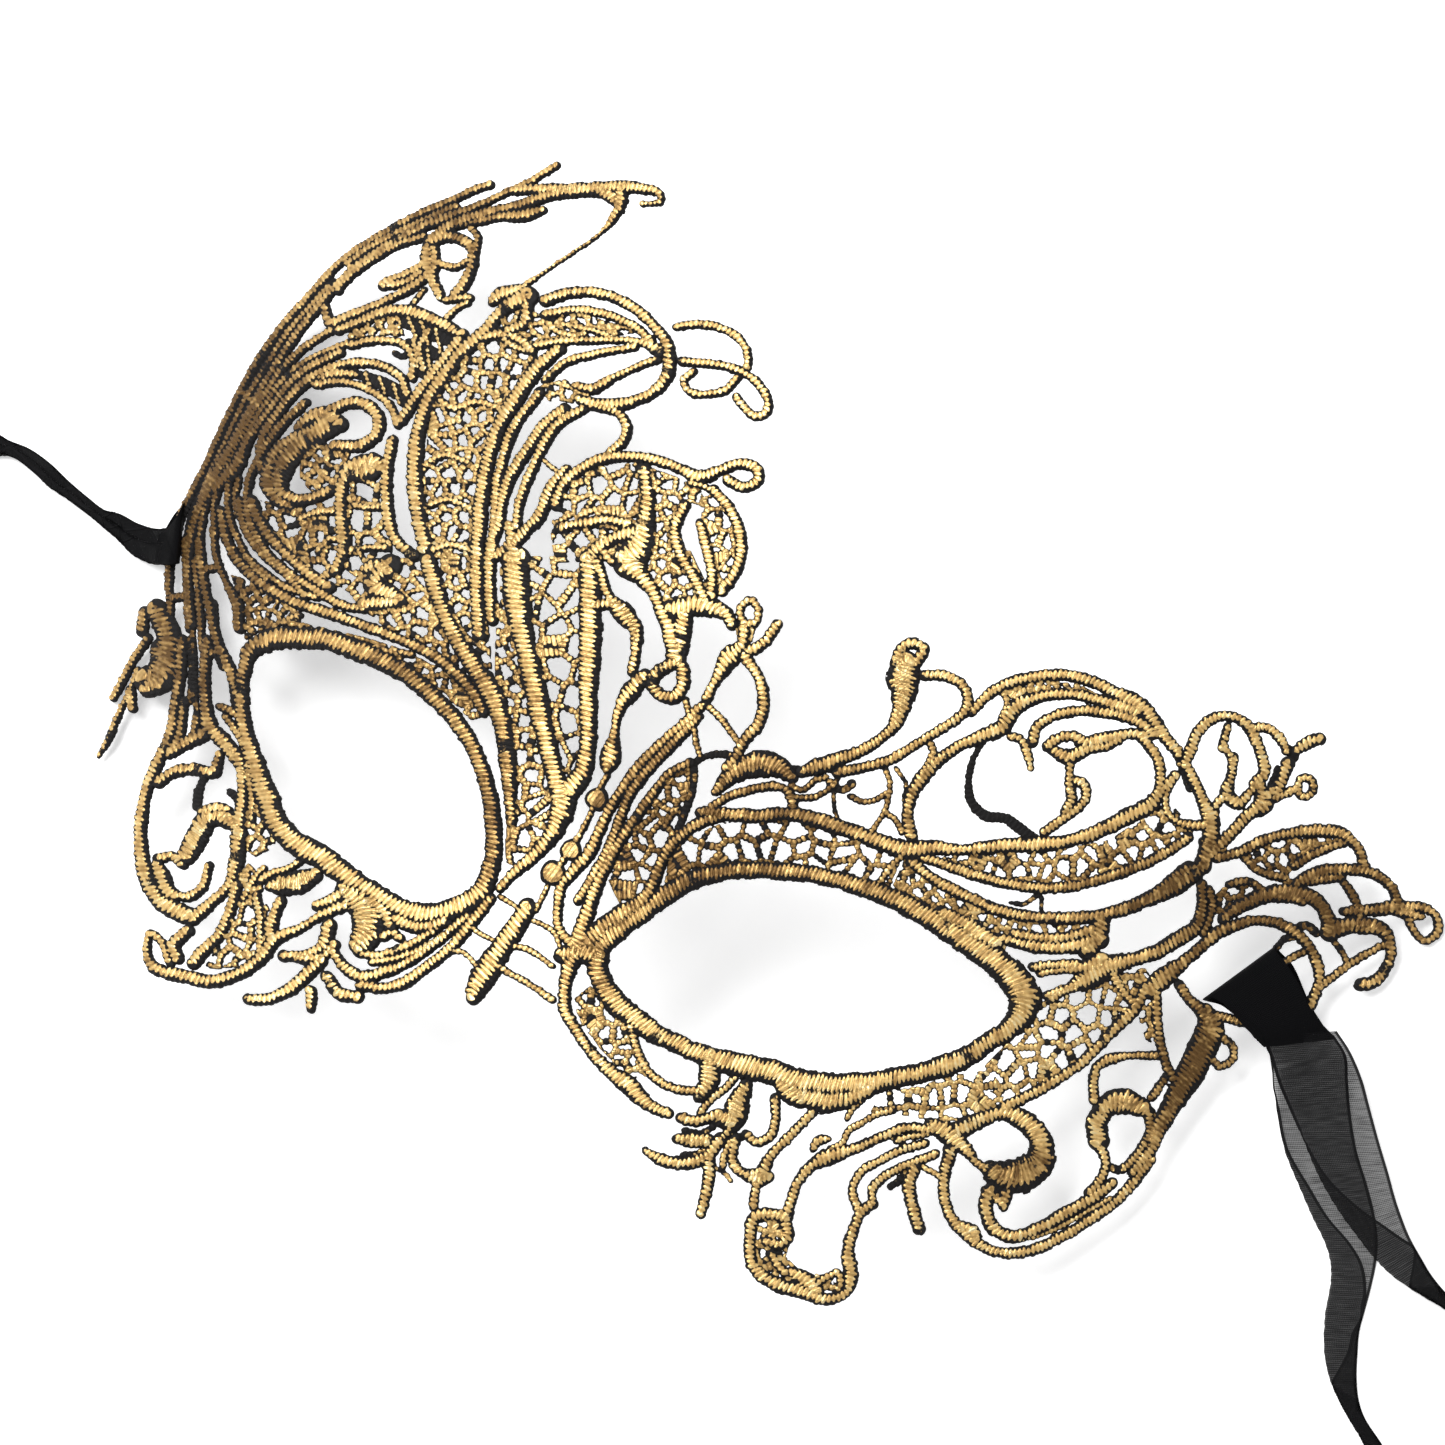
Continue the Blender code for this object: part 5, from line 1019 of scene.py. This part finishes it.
def lace_material():
    mat, tree, bsdf = new_material("gold_foil_embroidery")
    gold_at = node(tree, "ShaderNodeAttribute", attribute_name="gold").outputs["Fac"]
    tone_at = node(tree, "ShaderNodeAttribute", attribute_name="tone").outputs["Fac"]
    thread_at = node(tree, "ShaderNodeAttribute", attribute_name="thread").outputs["Fac"]
    coord = node(tree, "ShaderNodeTexCoord").outputs["Object"]
    flecks = node(tree, "ShaderNodeTexNoise")
    flecks.inputs["Scale"].default_value = 2600.0
    flecks.inputs["Detail"].default_value = 3.0
    tree.links.new(coord, flecks.inputs["Vector"])
    clouds = node(tree, "ShaderNodeTexNoise")
    clouds.inputs["Scale"].default_value = 420.0
    clouds.inputs["Detail"].default_value = 2.0
    tree.links.new(coord, clouds.inputs["Vector"])
    # foil shows where the drawing says, with a broken edge
    broken = math_node(tree, "MULTIPLY_ADD", flecks.outputs["Fac"], 0.9)
    broken.node.inputs[2].default_value = -0.45
    cover = math_node(tree, "ADD", gold_at, broken)
    shown = node(tree, "ShaderNodeMapRange", interpolation_type="SMOOTHSTEP")
    shown.inputs["From Min"].default_value = 0.30
    shown.inputs["From Max"].default_value = 0.62
    tree.links.new(cover, shown.inputs["Value"])
    shown = shown.outputs["Result"]
    # foil colours from fresh to rubbed, and to brown where the tone holds painted shade
    wear_and_shade = math_node(tree, "ADD", math_node(tree, "MULTIPLY", tone_at, 0.7), math_node(tree, "MULTIPLY", clouds.outputs["Fac"], 0.5))
    ramp = node(tree, "ShaderNodeValToRGB")
    ramp.color_ramp.elements[0].position = 0.22
    ramp.color_ramp.elements[0].color = (1.0, 0.86, 0.50, 1)
    ramp.color_ramp.elements[1].position = 1.0
    ramp.color_ramp.elements[1].color = (0.17, 0.095, 0.035, 1)
    mid = ramp.color_ramp.elements.new(0.50)
    mid.color = (0.92, 0.64, 0.26, 1)
    brown = ramp.color_ramp.elements.new(0.75)
    brown.color = (0.56, 0.35, 0.13, 1)
    tree.links.new(wear_and_shade, ramp.inputs["Fac"])
    colour = mix_colour(tree, shown, (0.008, 0.007, 0.007), ramp.outputs["Color"])
    tree.links.new(colour, bsdf.inputs["Base Color"])
    tree.links.new(math_node(tree, "MULTIPLY", shown, 0.82), bsdf.inputs["Metallic"])
    rough = node(tree, "ShaderNodeMapRange")
    rough.inputs["To Min"].default_value = 0.62
    rough.inputs["To Max"].default_value = 0.33
    tree.links.new(shown, rough.inputs["Value"])
    tree.links.new(math_node(tree, "ADD", rough.outputs["Result"], math_node(tree, "MULTIPLY", tone_at, 0.12)), bsdf.inputs["Roughness"])
    bsdf.inputs["Specular IOR Level"].default_value = 0.22
    # single threads across the cord
    saw = math_node(tree, "SINE", math_node(tree, "MULTIPLY", thread_at, 2 * math.pi / 0.21))
    fine = math_node(tree, "ADD", math_node(tree, "MULTIPLY", saw, 0.5), math_node(tree, "MULTIPLY", flecks.outputs["Fac"], 1.4))
    bump = node(tree, "ShaderNodeBump")
    bump.inputs["Strength"].default_value = 0.9
    bump.inputs["Distance"].default_value = 0.00005
    tree.links.new(fine, bump.inputs["Height"])
    tree.links.new(bump.outputs["Normal"], bsdf.inputs["Normal"])
    return mat


LACE = lace_material()
for obj in lace.values():
    obj.data.materials.append(LACE)

# ---- ribbons ----------------------------------------------------------------------------------------
WIDE = 11.5          # ribbon width, mm
ROLL_R, ROLL_IN, ROLL_PITCH = 6.1, 1.5, 0.53


def over_shell(x, y, gap):
    """The point on the line of sight through (x, y) that stands this far over the shell."""
    q, n = on_shell([(x, y)])
    v = unit(EYE_W - q[0])
    return q[0] + v * gap / max(0.2, float(np.dot(v, n[0])))


def curve_through(points, step):
    """Centripetal curve through rows of numbers; the first three are a place in mm, which sets the spacing."""
    pts = np.asarray(points, float)
    out = []
    n = len(pts)
    for i in range(n - 1):
        p1, p2 = pts[i], pts[i + 1]
        p0 = pts[i - 1] if i > 0 else 2 * p1 - p2
        p3 = pts[i + 2] if i + 2 < n else 2 * p2 - p1
        d = [max(1e-3, np.linalg.norm(b[:3] - a[:3])) ** 0.5 for a, b in ((p0, p1), (p1, p2), (p2, p3))]
        m1 = (p2 - p1) + d[1] * ((p1 - p0) / d[0] - (p2 - p0) / (d[0] + d[1]))
        m2 = (p2 - p1) + d[1] * ((p3 - p2) / d[2] - (p3 - p1) / (d[1] + d[2]))
        count = max(1, int(np.ceil(np.linalg.norm(p2[:3] - p1[:3]) / step)))
        for k in range(count):
            t = k / count
            out.append((2 * t**3 - 3 * t**2 + 1) * p1 + (t**3 - 2 * t**2 + t) * m1 + (-2 * t**3 + 3 * t**2) * p2 + (t**3 - t**2) * m2)
    out.append(pts[-1])
    return np.array(out)


ACROSS = 44          # faces across a ribbon
LAYER = 0.13         # height from one folded layer to the next, mm


def folded_row(left, right_, start_right=True):
    """Points across one ribbon from edge to edge. Where the two sides stand closer than the ribbon is wide it
    folds back and forth over itself."""
    span = right_ - left
    room = np.linalg.norm(span)
    c = span / max(room, 1e-6)
    s = np.linspace(0, WIDE, ACROSS + 1)
    if room >= WIDE - 0.05:
        p, layer = s * room / WIDE, np.zeros_like(s)
    else:
        turn = s / room
        k = np.floor(turn)
        f = turn - k
        p = np.where(k % 2 == 0, f, 1 - f) * room
        # each turn lifts the cloth by one layer, over the last and first bit of the run
        soft = 0.18
        layer = k + np.clip((f - (1 - soft)) / soft, 0, 1) * 0.5 - np.clip((soft - f) / soft, 0, 1) * 0.5 * (k > 0)
    if start_right:
        p = room - p
    return left + c * p[:, None] + np.array([0, 0, 1.0]) * (layer * LAYER)[:, None]


def wavy(s, seed):
    return math.sin(s * 0.21 + seed) + 0.6 * math.sin(s * 0.47 + 2.1 * seed)


def ribbon_mesh(name, rows, lengths):
    rows = np.array(rows)
    n, m = rows.shape[:2]
    verts = rows.reshape(-1, 3) / 1000.0
    i, j = np.meshgrid(np.arange(n - 1), np.arange(m - 1), indexing="ij")
    a = (i * m + j).ravel()
    quads = np.stack([a, a + 1, a + m + 1, a + m], axis=1)
    obj = mesh_object(name, verts, quads)
    float_layer(obj.data, "across", np.tile(np.linspace(0, WIDE, m), n))
    float_layer(obj.data, "along", np.repeat(lengths, m))
    return obj


def tail(name, stations, seed):
    """stations: rows of left x, y, right x, y, height, with the height over the surface in mm; past the last one
    the ribbon rolls up."""
    rows = []
    for lx, ly, rx, ry, h in stations:
        l, r = on_level(lx, ly, h), on_level(rx, ry, h)
        rows.append([*((l + r) / 2), *((r - l))])
    line = curve_through(rows, 0.55)
    end, before = line[-1, :3], line[-4, :3]
    d = unit((end - before) * [1, 1, 0])
    flat_h = end[2]
    out, run, s = [], [], 0.0
    seglen = np.concatenate([[0], np.cumsum(np.linalg.norm(np.diff(line[:, :3], axis=0), axis=1))])
    for k, row in enumerate(line):
        c, span = row[:3], row[3:6]
        out.append(folded_row(c - span / 2, c + span / 2))
        run.append(seglen[k])
        # a little life across the loose cloth
        x = np.linspace(-1, 1, ACROSS + 1)
        loose = min(1.0, np.linalg.norm(span) / WIDE)
        lift = 0.10 * loose * (1 + wavy(seglen[k], seed)) * (0.5 + 0.5 * np.cos(math.pi * (x + 0.6 * math.sin(seglen[k] * 0.13 + seed))))
        out[-1][:, 2] = np.maximum(out[-1][:, 2] + lift, 0.06)
    s = seglen[-1]
    span = line[-1, 3:6]
    axis = unit(span - d * np.dot(span, d))
    centre = end + d * (ROLL_R + 0.6)
    centre[2] = ROLL_R + 0.08
    # under the roll, then round it and inwards
    first = out[-1]
    flat_count = 8
    for k in range(1, flat_count + 1):
        t = k / flat_count
        target = centre - [0, 0, ROLL_R] + axis * WIDE * (0.5 - np.linspace(0, 1, ACROSS + 1))[:, None]
        start = first + d * 0
        out.append(start * (1 - t) + target * t)
        s += (ROLL_R + 0.6) / flat_count
        run.append(s)
    turns = (ROLL_R - ROLL_IN) / ROLL_PITCH
    steps = int(turns * 40)
    last = centre - [0, 0, ROLL_R]
    for k in range(1, steps + 1):
        a = 2 * math.pi * turns * k / steps
        r = ROLL_R - ROLL_PITCH * a / (2 * math.pi)
        r += 0.05 * math.sin(2.3 * a + seed)
        p = centre + d * (r * math.sin(a)) - np.array([0, 0, 1.0]) * (r * math.cos(a))
        s += np.linalg.norm(p - last)
        last = p
        drift = 0.35 * math.sin(0.31 * a + seed)
        out.append(p + axis * (WIDE * (0.5 - np.linspace(0, 1, ACROSS + 1)) + drift)[:, None])
        run.append(s)
    return ribbon_mesh(name, out, run), s


def spread(x, y, dx, dy, w, h):
    """A station by its middle, direction and width in mm."""
    dx, dy = dx / math.hypot(dx, dy), dy / math.hypot(dx, dy)
    k = w / UNIT / 2
    return (x + dy * k, y - dx * k, x - dy * k, y + dx * k, h)


RIGHT_A = [
    (1262, 1040, 1335, 1036, 3.9), (1270, 1058, 1347, 1056, 2.9), (1273, 1085, 1349, 1082, 1.4), (1277, 1112, 1351, 1110, 0.5),
    (1284, 1150, 1357, 1150, 0.2), (1300, 1190, 1367, 1184, 0.2), (1313, 1220, 1375, 1216, 0.2), (1325, 1245, 1378, 1243, 0.2),
    (1330, 1265, 1376, 1265, 0.2), (1329, 1290, 1370, 1292, 0.2), (1325, 1308, 1365, 1310, 0.2), (1323, 1330, 1359, 1332, 0.2),
    (1323, 1352, 1357, 1354, 0.2), (1328, 1378, 1356, 1378, 0.2), (1338, 1402, 1358, 1400, 0.2), (1349, 1422, 1364, 1418, 0.2),
    (1363, 1447, 1379, 1441, 0.2), spread(1388, 1484, -17, -45, 5, 0.2), spread(1400, 1515, -17, -45, 9, 0.2), spread(1412, 1545, -17, -45, 11.5, 0.2)]
RIGHT_B = [
    (1264, 1038, 1338, 1032, 5.0), (1271, 1058, 1351, 1052, 4.2), (1279, 1084, 1363, 1080, 2.7), (1289, 1108, 1370, 1106, 1.5),
    (1303, 1140, 1379, 1140, 1.0), (1320, 1180, 1389, 1174, 0.9), (1340, 1214, 1396, 1200, 0.9), (1356, 1236, 1402, 1218, 0.9),
    (1373, 1258, 1410, 1238, 0.9), (1391, 1276, 1421, 1258, 0.9), (1415, 1293, 1434, 1279, 0.9), (1447, 1313, 1455, 1300, 0.9),
    spread(1482, 1325, -40, -15, 5.5, 0.7), spread(1520, 1340, -40, -15, 11.5, 0.3)]
LEFT_A = [
    (168, 552, 172, 527, 2.3), (155, 548, 160, 529, 1.9), (132, 537, 140, 524, 0.9), (116, 525, 121, 514, 0.4), (103, 520, 107, 511, 0.2),
    (86, 508, 91, 499, 0.2), (67, 494, 71, 482, 0.2), (49, 481, 51, 463, 0.2), (31, 468, 31, 449, 0.2), (11, 455, 11, 441, 0.2),
    (-8, 449, -4, 434, 0.2), spread(-35, 428, 38, 28, 6, 0.2), spread(-60, 412, 38, 28, 9.5, 0.2), spread(-88, 392, 38, 28, 11.5, 0.2)]
LEFT_B = [
    (168, 566, 170, 541, 3.1), (153, 565, 156, 543, 2.6), (134, 556, 141, 539, 1.6), (119, 541, 125, 530, 1.2), (104, 528, 109, 520, 1.1),
    (86, 513, 90, 506, 1.1), (68, 500, 71, 492, 1.1), (49, 487, 51, 476, 1.1), (36, 474, 37, 462, 1.1), (12, 458, 12, 447, 1.1),
    (-12, 457, -10, 445, 0.9), spread(-36, 455, 42, -28, 5, 0.8), spread(-60, 468, 42, -28, 9, 0.5), spread(-92, 490, 42, -28, 11.5, 0.3)]


def organza():
    mat, tree, bsdf = new_material("black_organza")
    across = node(tree, "ShaderNodeAttribute", attribute_name="across").outputs["Fac"]
    along = node(tree, "ShaderNodeAttribute", attribute_name="along").outputs["Fac"]
    weft = math_node(tree, "SINE", math_node(tree, "MULTIPLY", along, 2 * math.pi / 0.30))
    warp = math_node(tree, "SINE", math_node(tree, "MULTIPLY", across, 2 * math.pi / 0.26))
    place = node(tree, "ShaderNodeCombineXYZ")
    tree.links.new(math_node(tree, "MULTIPLY", across, 0.35), place.inputs[0])
    tree.links.new(math_node(tree, "MULTIPLY", along, 3.2), place.inputs[1])
    slub = node(tree, "ShaderNodeTexNoise")
    slub.inputs["Scale"].default_value = 1.0
    slub.inputs["Detail"].default_value = 2.0
    tree.links.new(place.outputs[0], slub.inputs["Vector"])
    weave = math_node(tree, "ADD", math_node(tree, "MULTIPLY", weft, 0.10), math_node(tree, "MULTIPLY", warp, 0.07))
    weave = math_node(tree, "ADD", weave, math_node(tree, "MULTIPLY", slub.outputs["Fac"], 0.40))
    weave = math_node(tree, "ADD", weave, 0.58)
    # selvedges: the last 0.4 mm at both edges
    off = math_node(tree, "ABSOLUTE", math_node(tree, "SUBTRACT", across, WIDE / 2))
    edge = node(tree, "ShaderNodeMapRange", interpolation_type="SMOOTHSTEP")
    edge.inputs["From Min"].default_value = WIDE / 2 - 0.62
    edge.inputs["From Max"].default_value = WIDE / 2 - 0.42
    tree.links.new(off, edge.inputs["Value"])
    cover = math_node(tree, "MAXIMUM", weave, math_node(tree, "MULTIPLY", edge.outputs["Result"], 0.98), clamp=True)
    bsdf.inputs["Base Color"].default_value = (0.002, 0.002, 0.0025, 1)
    bsdf.inputs["Roughness"].default_value = 0.55
    bsdf.inputs["Specular IOR Level"].default_value = 0.08
    bsdf.inputs["Sheen Weight"].default_value = 0.01
    bsdf.inputs["Sheen Roughness"].default_value = 0.4
    bump = node(tree, "ShaderNodeBump")
    bump.inputs["Strength"].default_value = 0.3
    bump.inputs["Distance"].default_value = 0.00004
    tree.links.new(math_node(tree, "ADD", weft, warp), bump.inputs["Height"])
    tree.links.new(bump.outputs["Normal"], bsdf.inputs["Normal"])
    clear = node(tree, "ShaderNodeBsdfTransparent")
    mixed = node(tree, "ShaderNodeMixShader")
    tree.links.new(cover, mixed.inputs[0])
    tree.links.new(clear.outputs[0], mixed.inputs[1])
    tree.links.new(bsdf.outputs[0], mixed.inputs[2])
    out = next(n for n in tree.nodes if n.type == "OUTPUT_MATERIAL")
    tree.links.new(mixed.outputs[0], out.inputs["Surface"])
    return mat


ORGANZA = organza()
tail_lengths = {}
for name, stations, seed, body in (("right_ribbon_tail_a", RIGHT_A, 0.4, "right_ribbon"), ("right_ribbon_tail_b", RIGHT_B, 1.9, "right_ribbon"),
                                   ("left_ribbon_tail_a", LEFT_A, 3.1, "left_ribbon"), ("left_ribbon_tail_b", LEFT_B, 4.4, "left_ribbon")):
    obj, length = tail(name + "_cloth", stations, seed)
    tail_lengths[name] = length
    obj.data.materials.append(ORGANZA)
    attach(obj, body)
    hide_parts(name, name.replace("tail", "roll"))


def hitch(name, stations, seed):
    """The folded end of the tie: out of the lower tail, under the bar of lace, up through the hole and back over.
    stations: left x, y, right x, y, gap over the shell."""
    rows = []
    for lx, ly, rx, ry, gap in stations:
        l, r = over_shell(lx, ly, gap), over_shell(rx, ry, gap)
        l[2], r[2] = max(l[2], 0.1), max(r[2], 0.1)
        rows.append([*((l + r) / 2), *(r - l)])
    line = curve_through(rows, 0.3)
    seglen = np.concatenate([[0], np.cumsum(np.linalg.norm(np.diff(line[:, :3], axis=0), axis=1))])
    out = []
    for k, row in enumerate(line):
        out.append(folded_row(row[:3] - row[3:6] / 2, row[:3] + row[3:6] / 2))
    return ribbon_mesh(name, out, seglen), seglen[-1]


def knot_cloth():
    mat, tree, bsdf = new_material("black_organza_doubled")
    across = node(tree, "ShaderNodeAttribute", attribute_name="across").outputs["Fac"]
    along = node(tree, "ShaderNodeAttribute", attribute_name="along").outputs["Fac"]
    weft = math_node(tree, "SINE", math_node(tree, "MULTIPLY", along, 2 * math.pi / 0.30))
    warp = math_node(tree, "SINE", math_node(tree, "MULTIPLY", across, 2 * math.pi / 0.26))
    bsdf.inputs["Base Color"].default_value = (0.0015, 0.0015, 0.002, 1)
    bsdf.inputs["Roughness"].default_value = 0.6
    bsdf.inputs["Specular IOR Level"].default_value = 0.06
    bsdf.inputs["Sheen Weight"].default_value = 0.02
    bump = node(tree, "ShaderNodeBump")
    bump.inputs["Strength"].default_value = 0.5
    bump.inputs["Distance"].default_value = 0.00005
    tree.links.new(math_node(tree, "ADD", weft, warp), bump.inputs["Height"])
    tree.links.new(bump.outputs["Normal"], bsdf.inputs["Normal"])
    return mat


KNOT = knot_cloth()
RIGHT_HITCH = [
    (1262, 1041, 1331, 1036, 0.2), (1246, 1026, 1312, 1006, -1.5), (1222, 1006, 1294, 966, -1.9), (1208, 1002, 1281, 952, -1.3),
    (1203, 1000, 1277, 946, -0.1), (1208, 997, 1276, 950, 1.2), (1220, 1002, 1286, 962, 1.7), (1238, 1020, 1300, 985, 1.9), (1252, 1036, 1316, 1016, 1.9),
    (1264, 1048, 1338, 1040, 1.8)]
LEFT_HITCH = [
    (160, 564, 163, 536, -0.3), (171, 566, 177, 517, -1.5), (178, 565, 184, 506, -1.2), (181, 564, 186, 503, -0.1),
    (177, 565, 184, 504, 1.1), (170, 566, 178, 516, 1.6), (162, 565, 166, 531, 1.5), (156, 564, 160, 534, 1.3)]
for name, stations, seed in (("right_ribbon_hitch", RIGHT_HITCH, 0.7), ("left_ribbon_hitch", LEFT_HITCH, 2.2)):
    obj, length = hitch(name + "_cloth", stations, seed)
    obj.data.materials.append(KNOT)
    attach(obj, "mask")
    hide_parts(name)

# ---- floor and light --------------------------------------------------------------------------------
bpy.ops.mesh.primitive_plane_add(size=6.0, location=(0, 0, 0))
floor = bpy.context.object
floor.name = "white_floor"
mat, tree, bsdf = new_material("white_paper")
bsdf.inputs["Base Color"].default_value = (0.93, 0.93, 0.93, 1)
bsdf.inputs["Roughness"].default_value = 0.9
bsdf.inputs["Specular IOR Level"].default_value = 0.1
bsdf.inputs["Emission Color"].default_value = (1, 1, 1, 1)
bsdf.inputs["Emission Strength"].default_value = 0.45
floor.data.materials.append(mat)


def softbox(name, way, distance, size_x, size_y, radiance, colour=(1, 1, 1)):
    data = bpy.data.lights.new(name, "AREA")
    data.shape = "RECTANGLE"
    data.size, data.size_y = size_x, size_y
    data.energy = radiance * math.pi * size_x * size_y
    data.color = colour
    obj = bpy.data.objects.new(name, data)
    bpy.context.collection.objects.link(obj)
    way = Vector(way).normalized()
    obj.location = Vector((0, 0, 0.02)) + way * distance
    obj.rotation_euler = way.to_track_quat("Z", "Y").to_euler()
    return obj


softbox("key", (-0.42, 0.12, 0.90), 1.1, 0.85, 0.80, 7.5)
softbox("fill", (0.75, 0.30, 0.60), 1.2, 0.5, 0.6, 1.6)

world = bpy.context.scene.world or bpy.data.worlds.new("world")
bpy.context.scene.world = world
world.use_nodes = True
back = next(n for n in world.node_tree.nodes if n.type == "BACKGROUND")
back.inputs["Color"].default_value = (1, 1, 1, 1)
back.inputs["Strength"].default_value = 0.34
bpy.context.scene.view_settings.view_transform = "Standard"
bpy.context.scene.view_settings.look = "None"
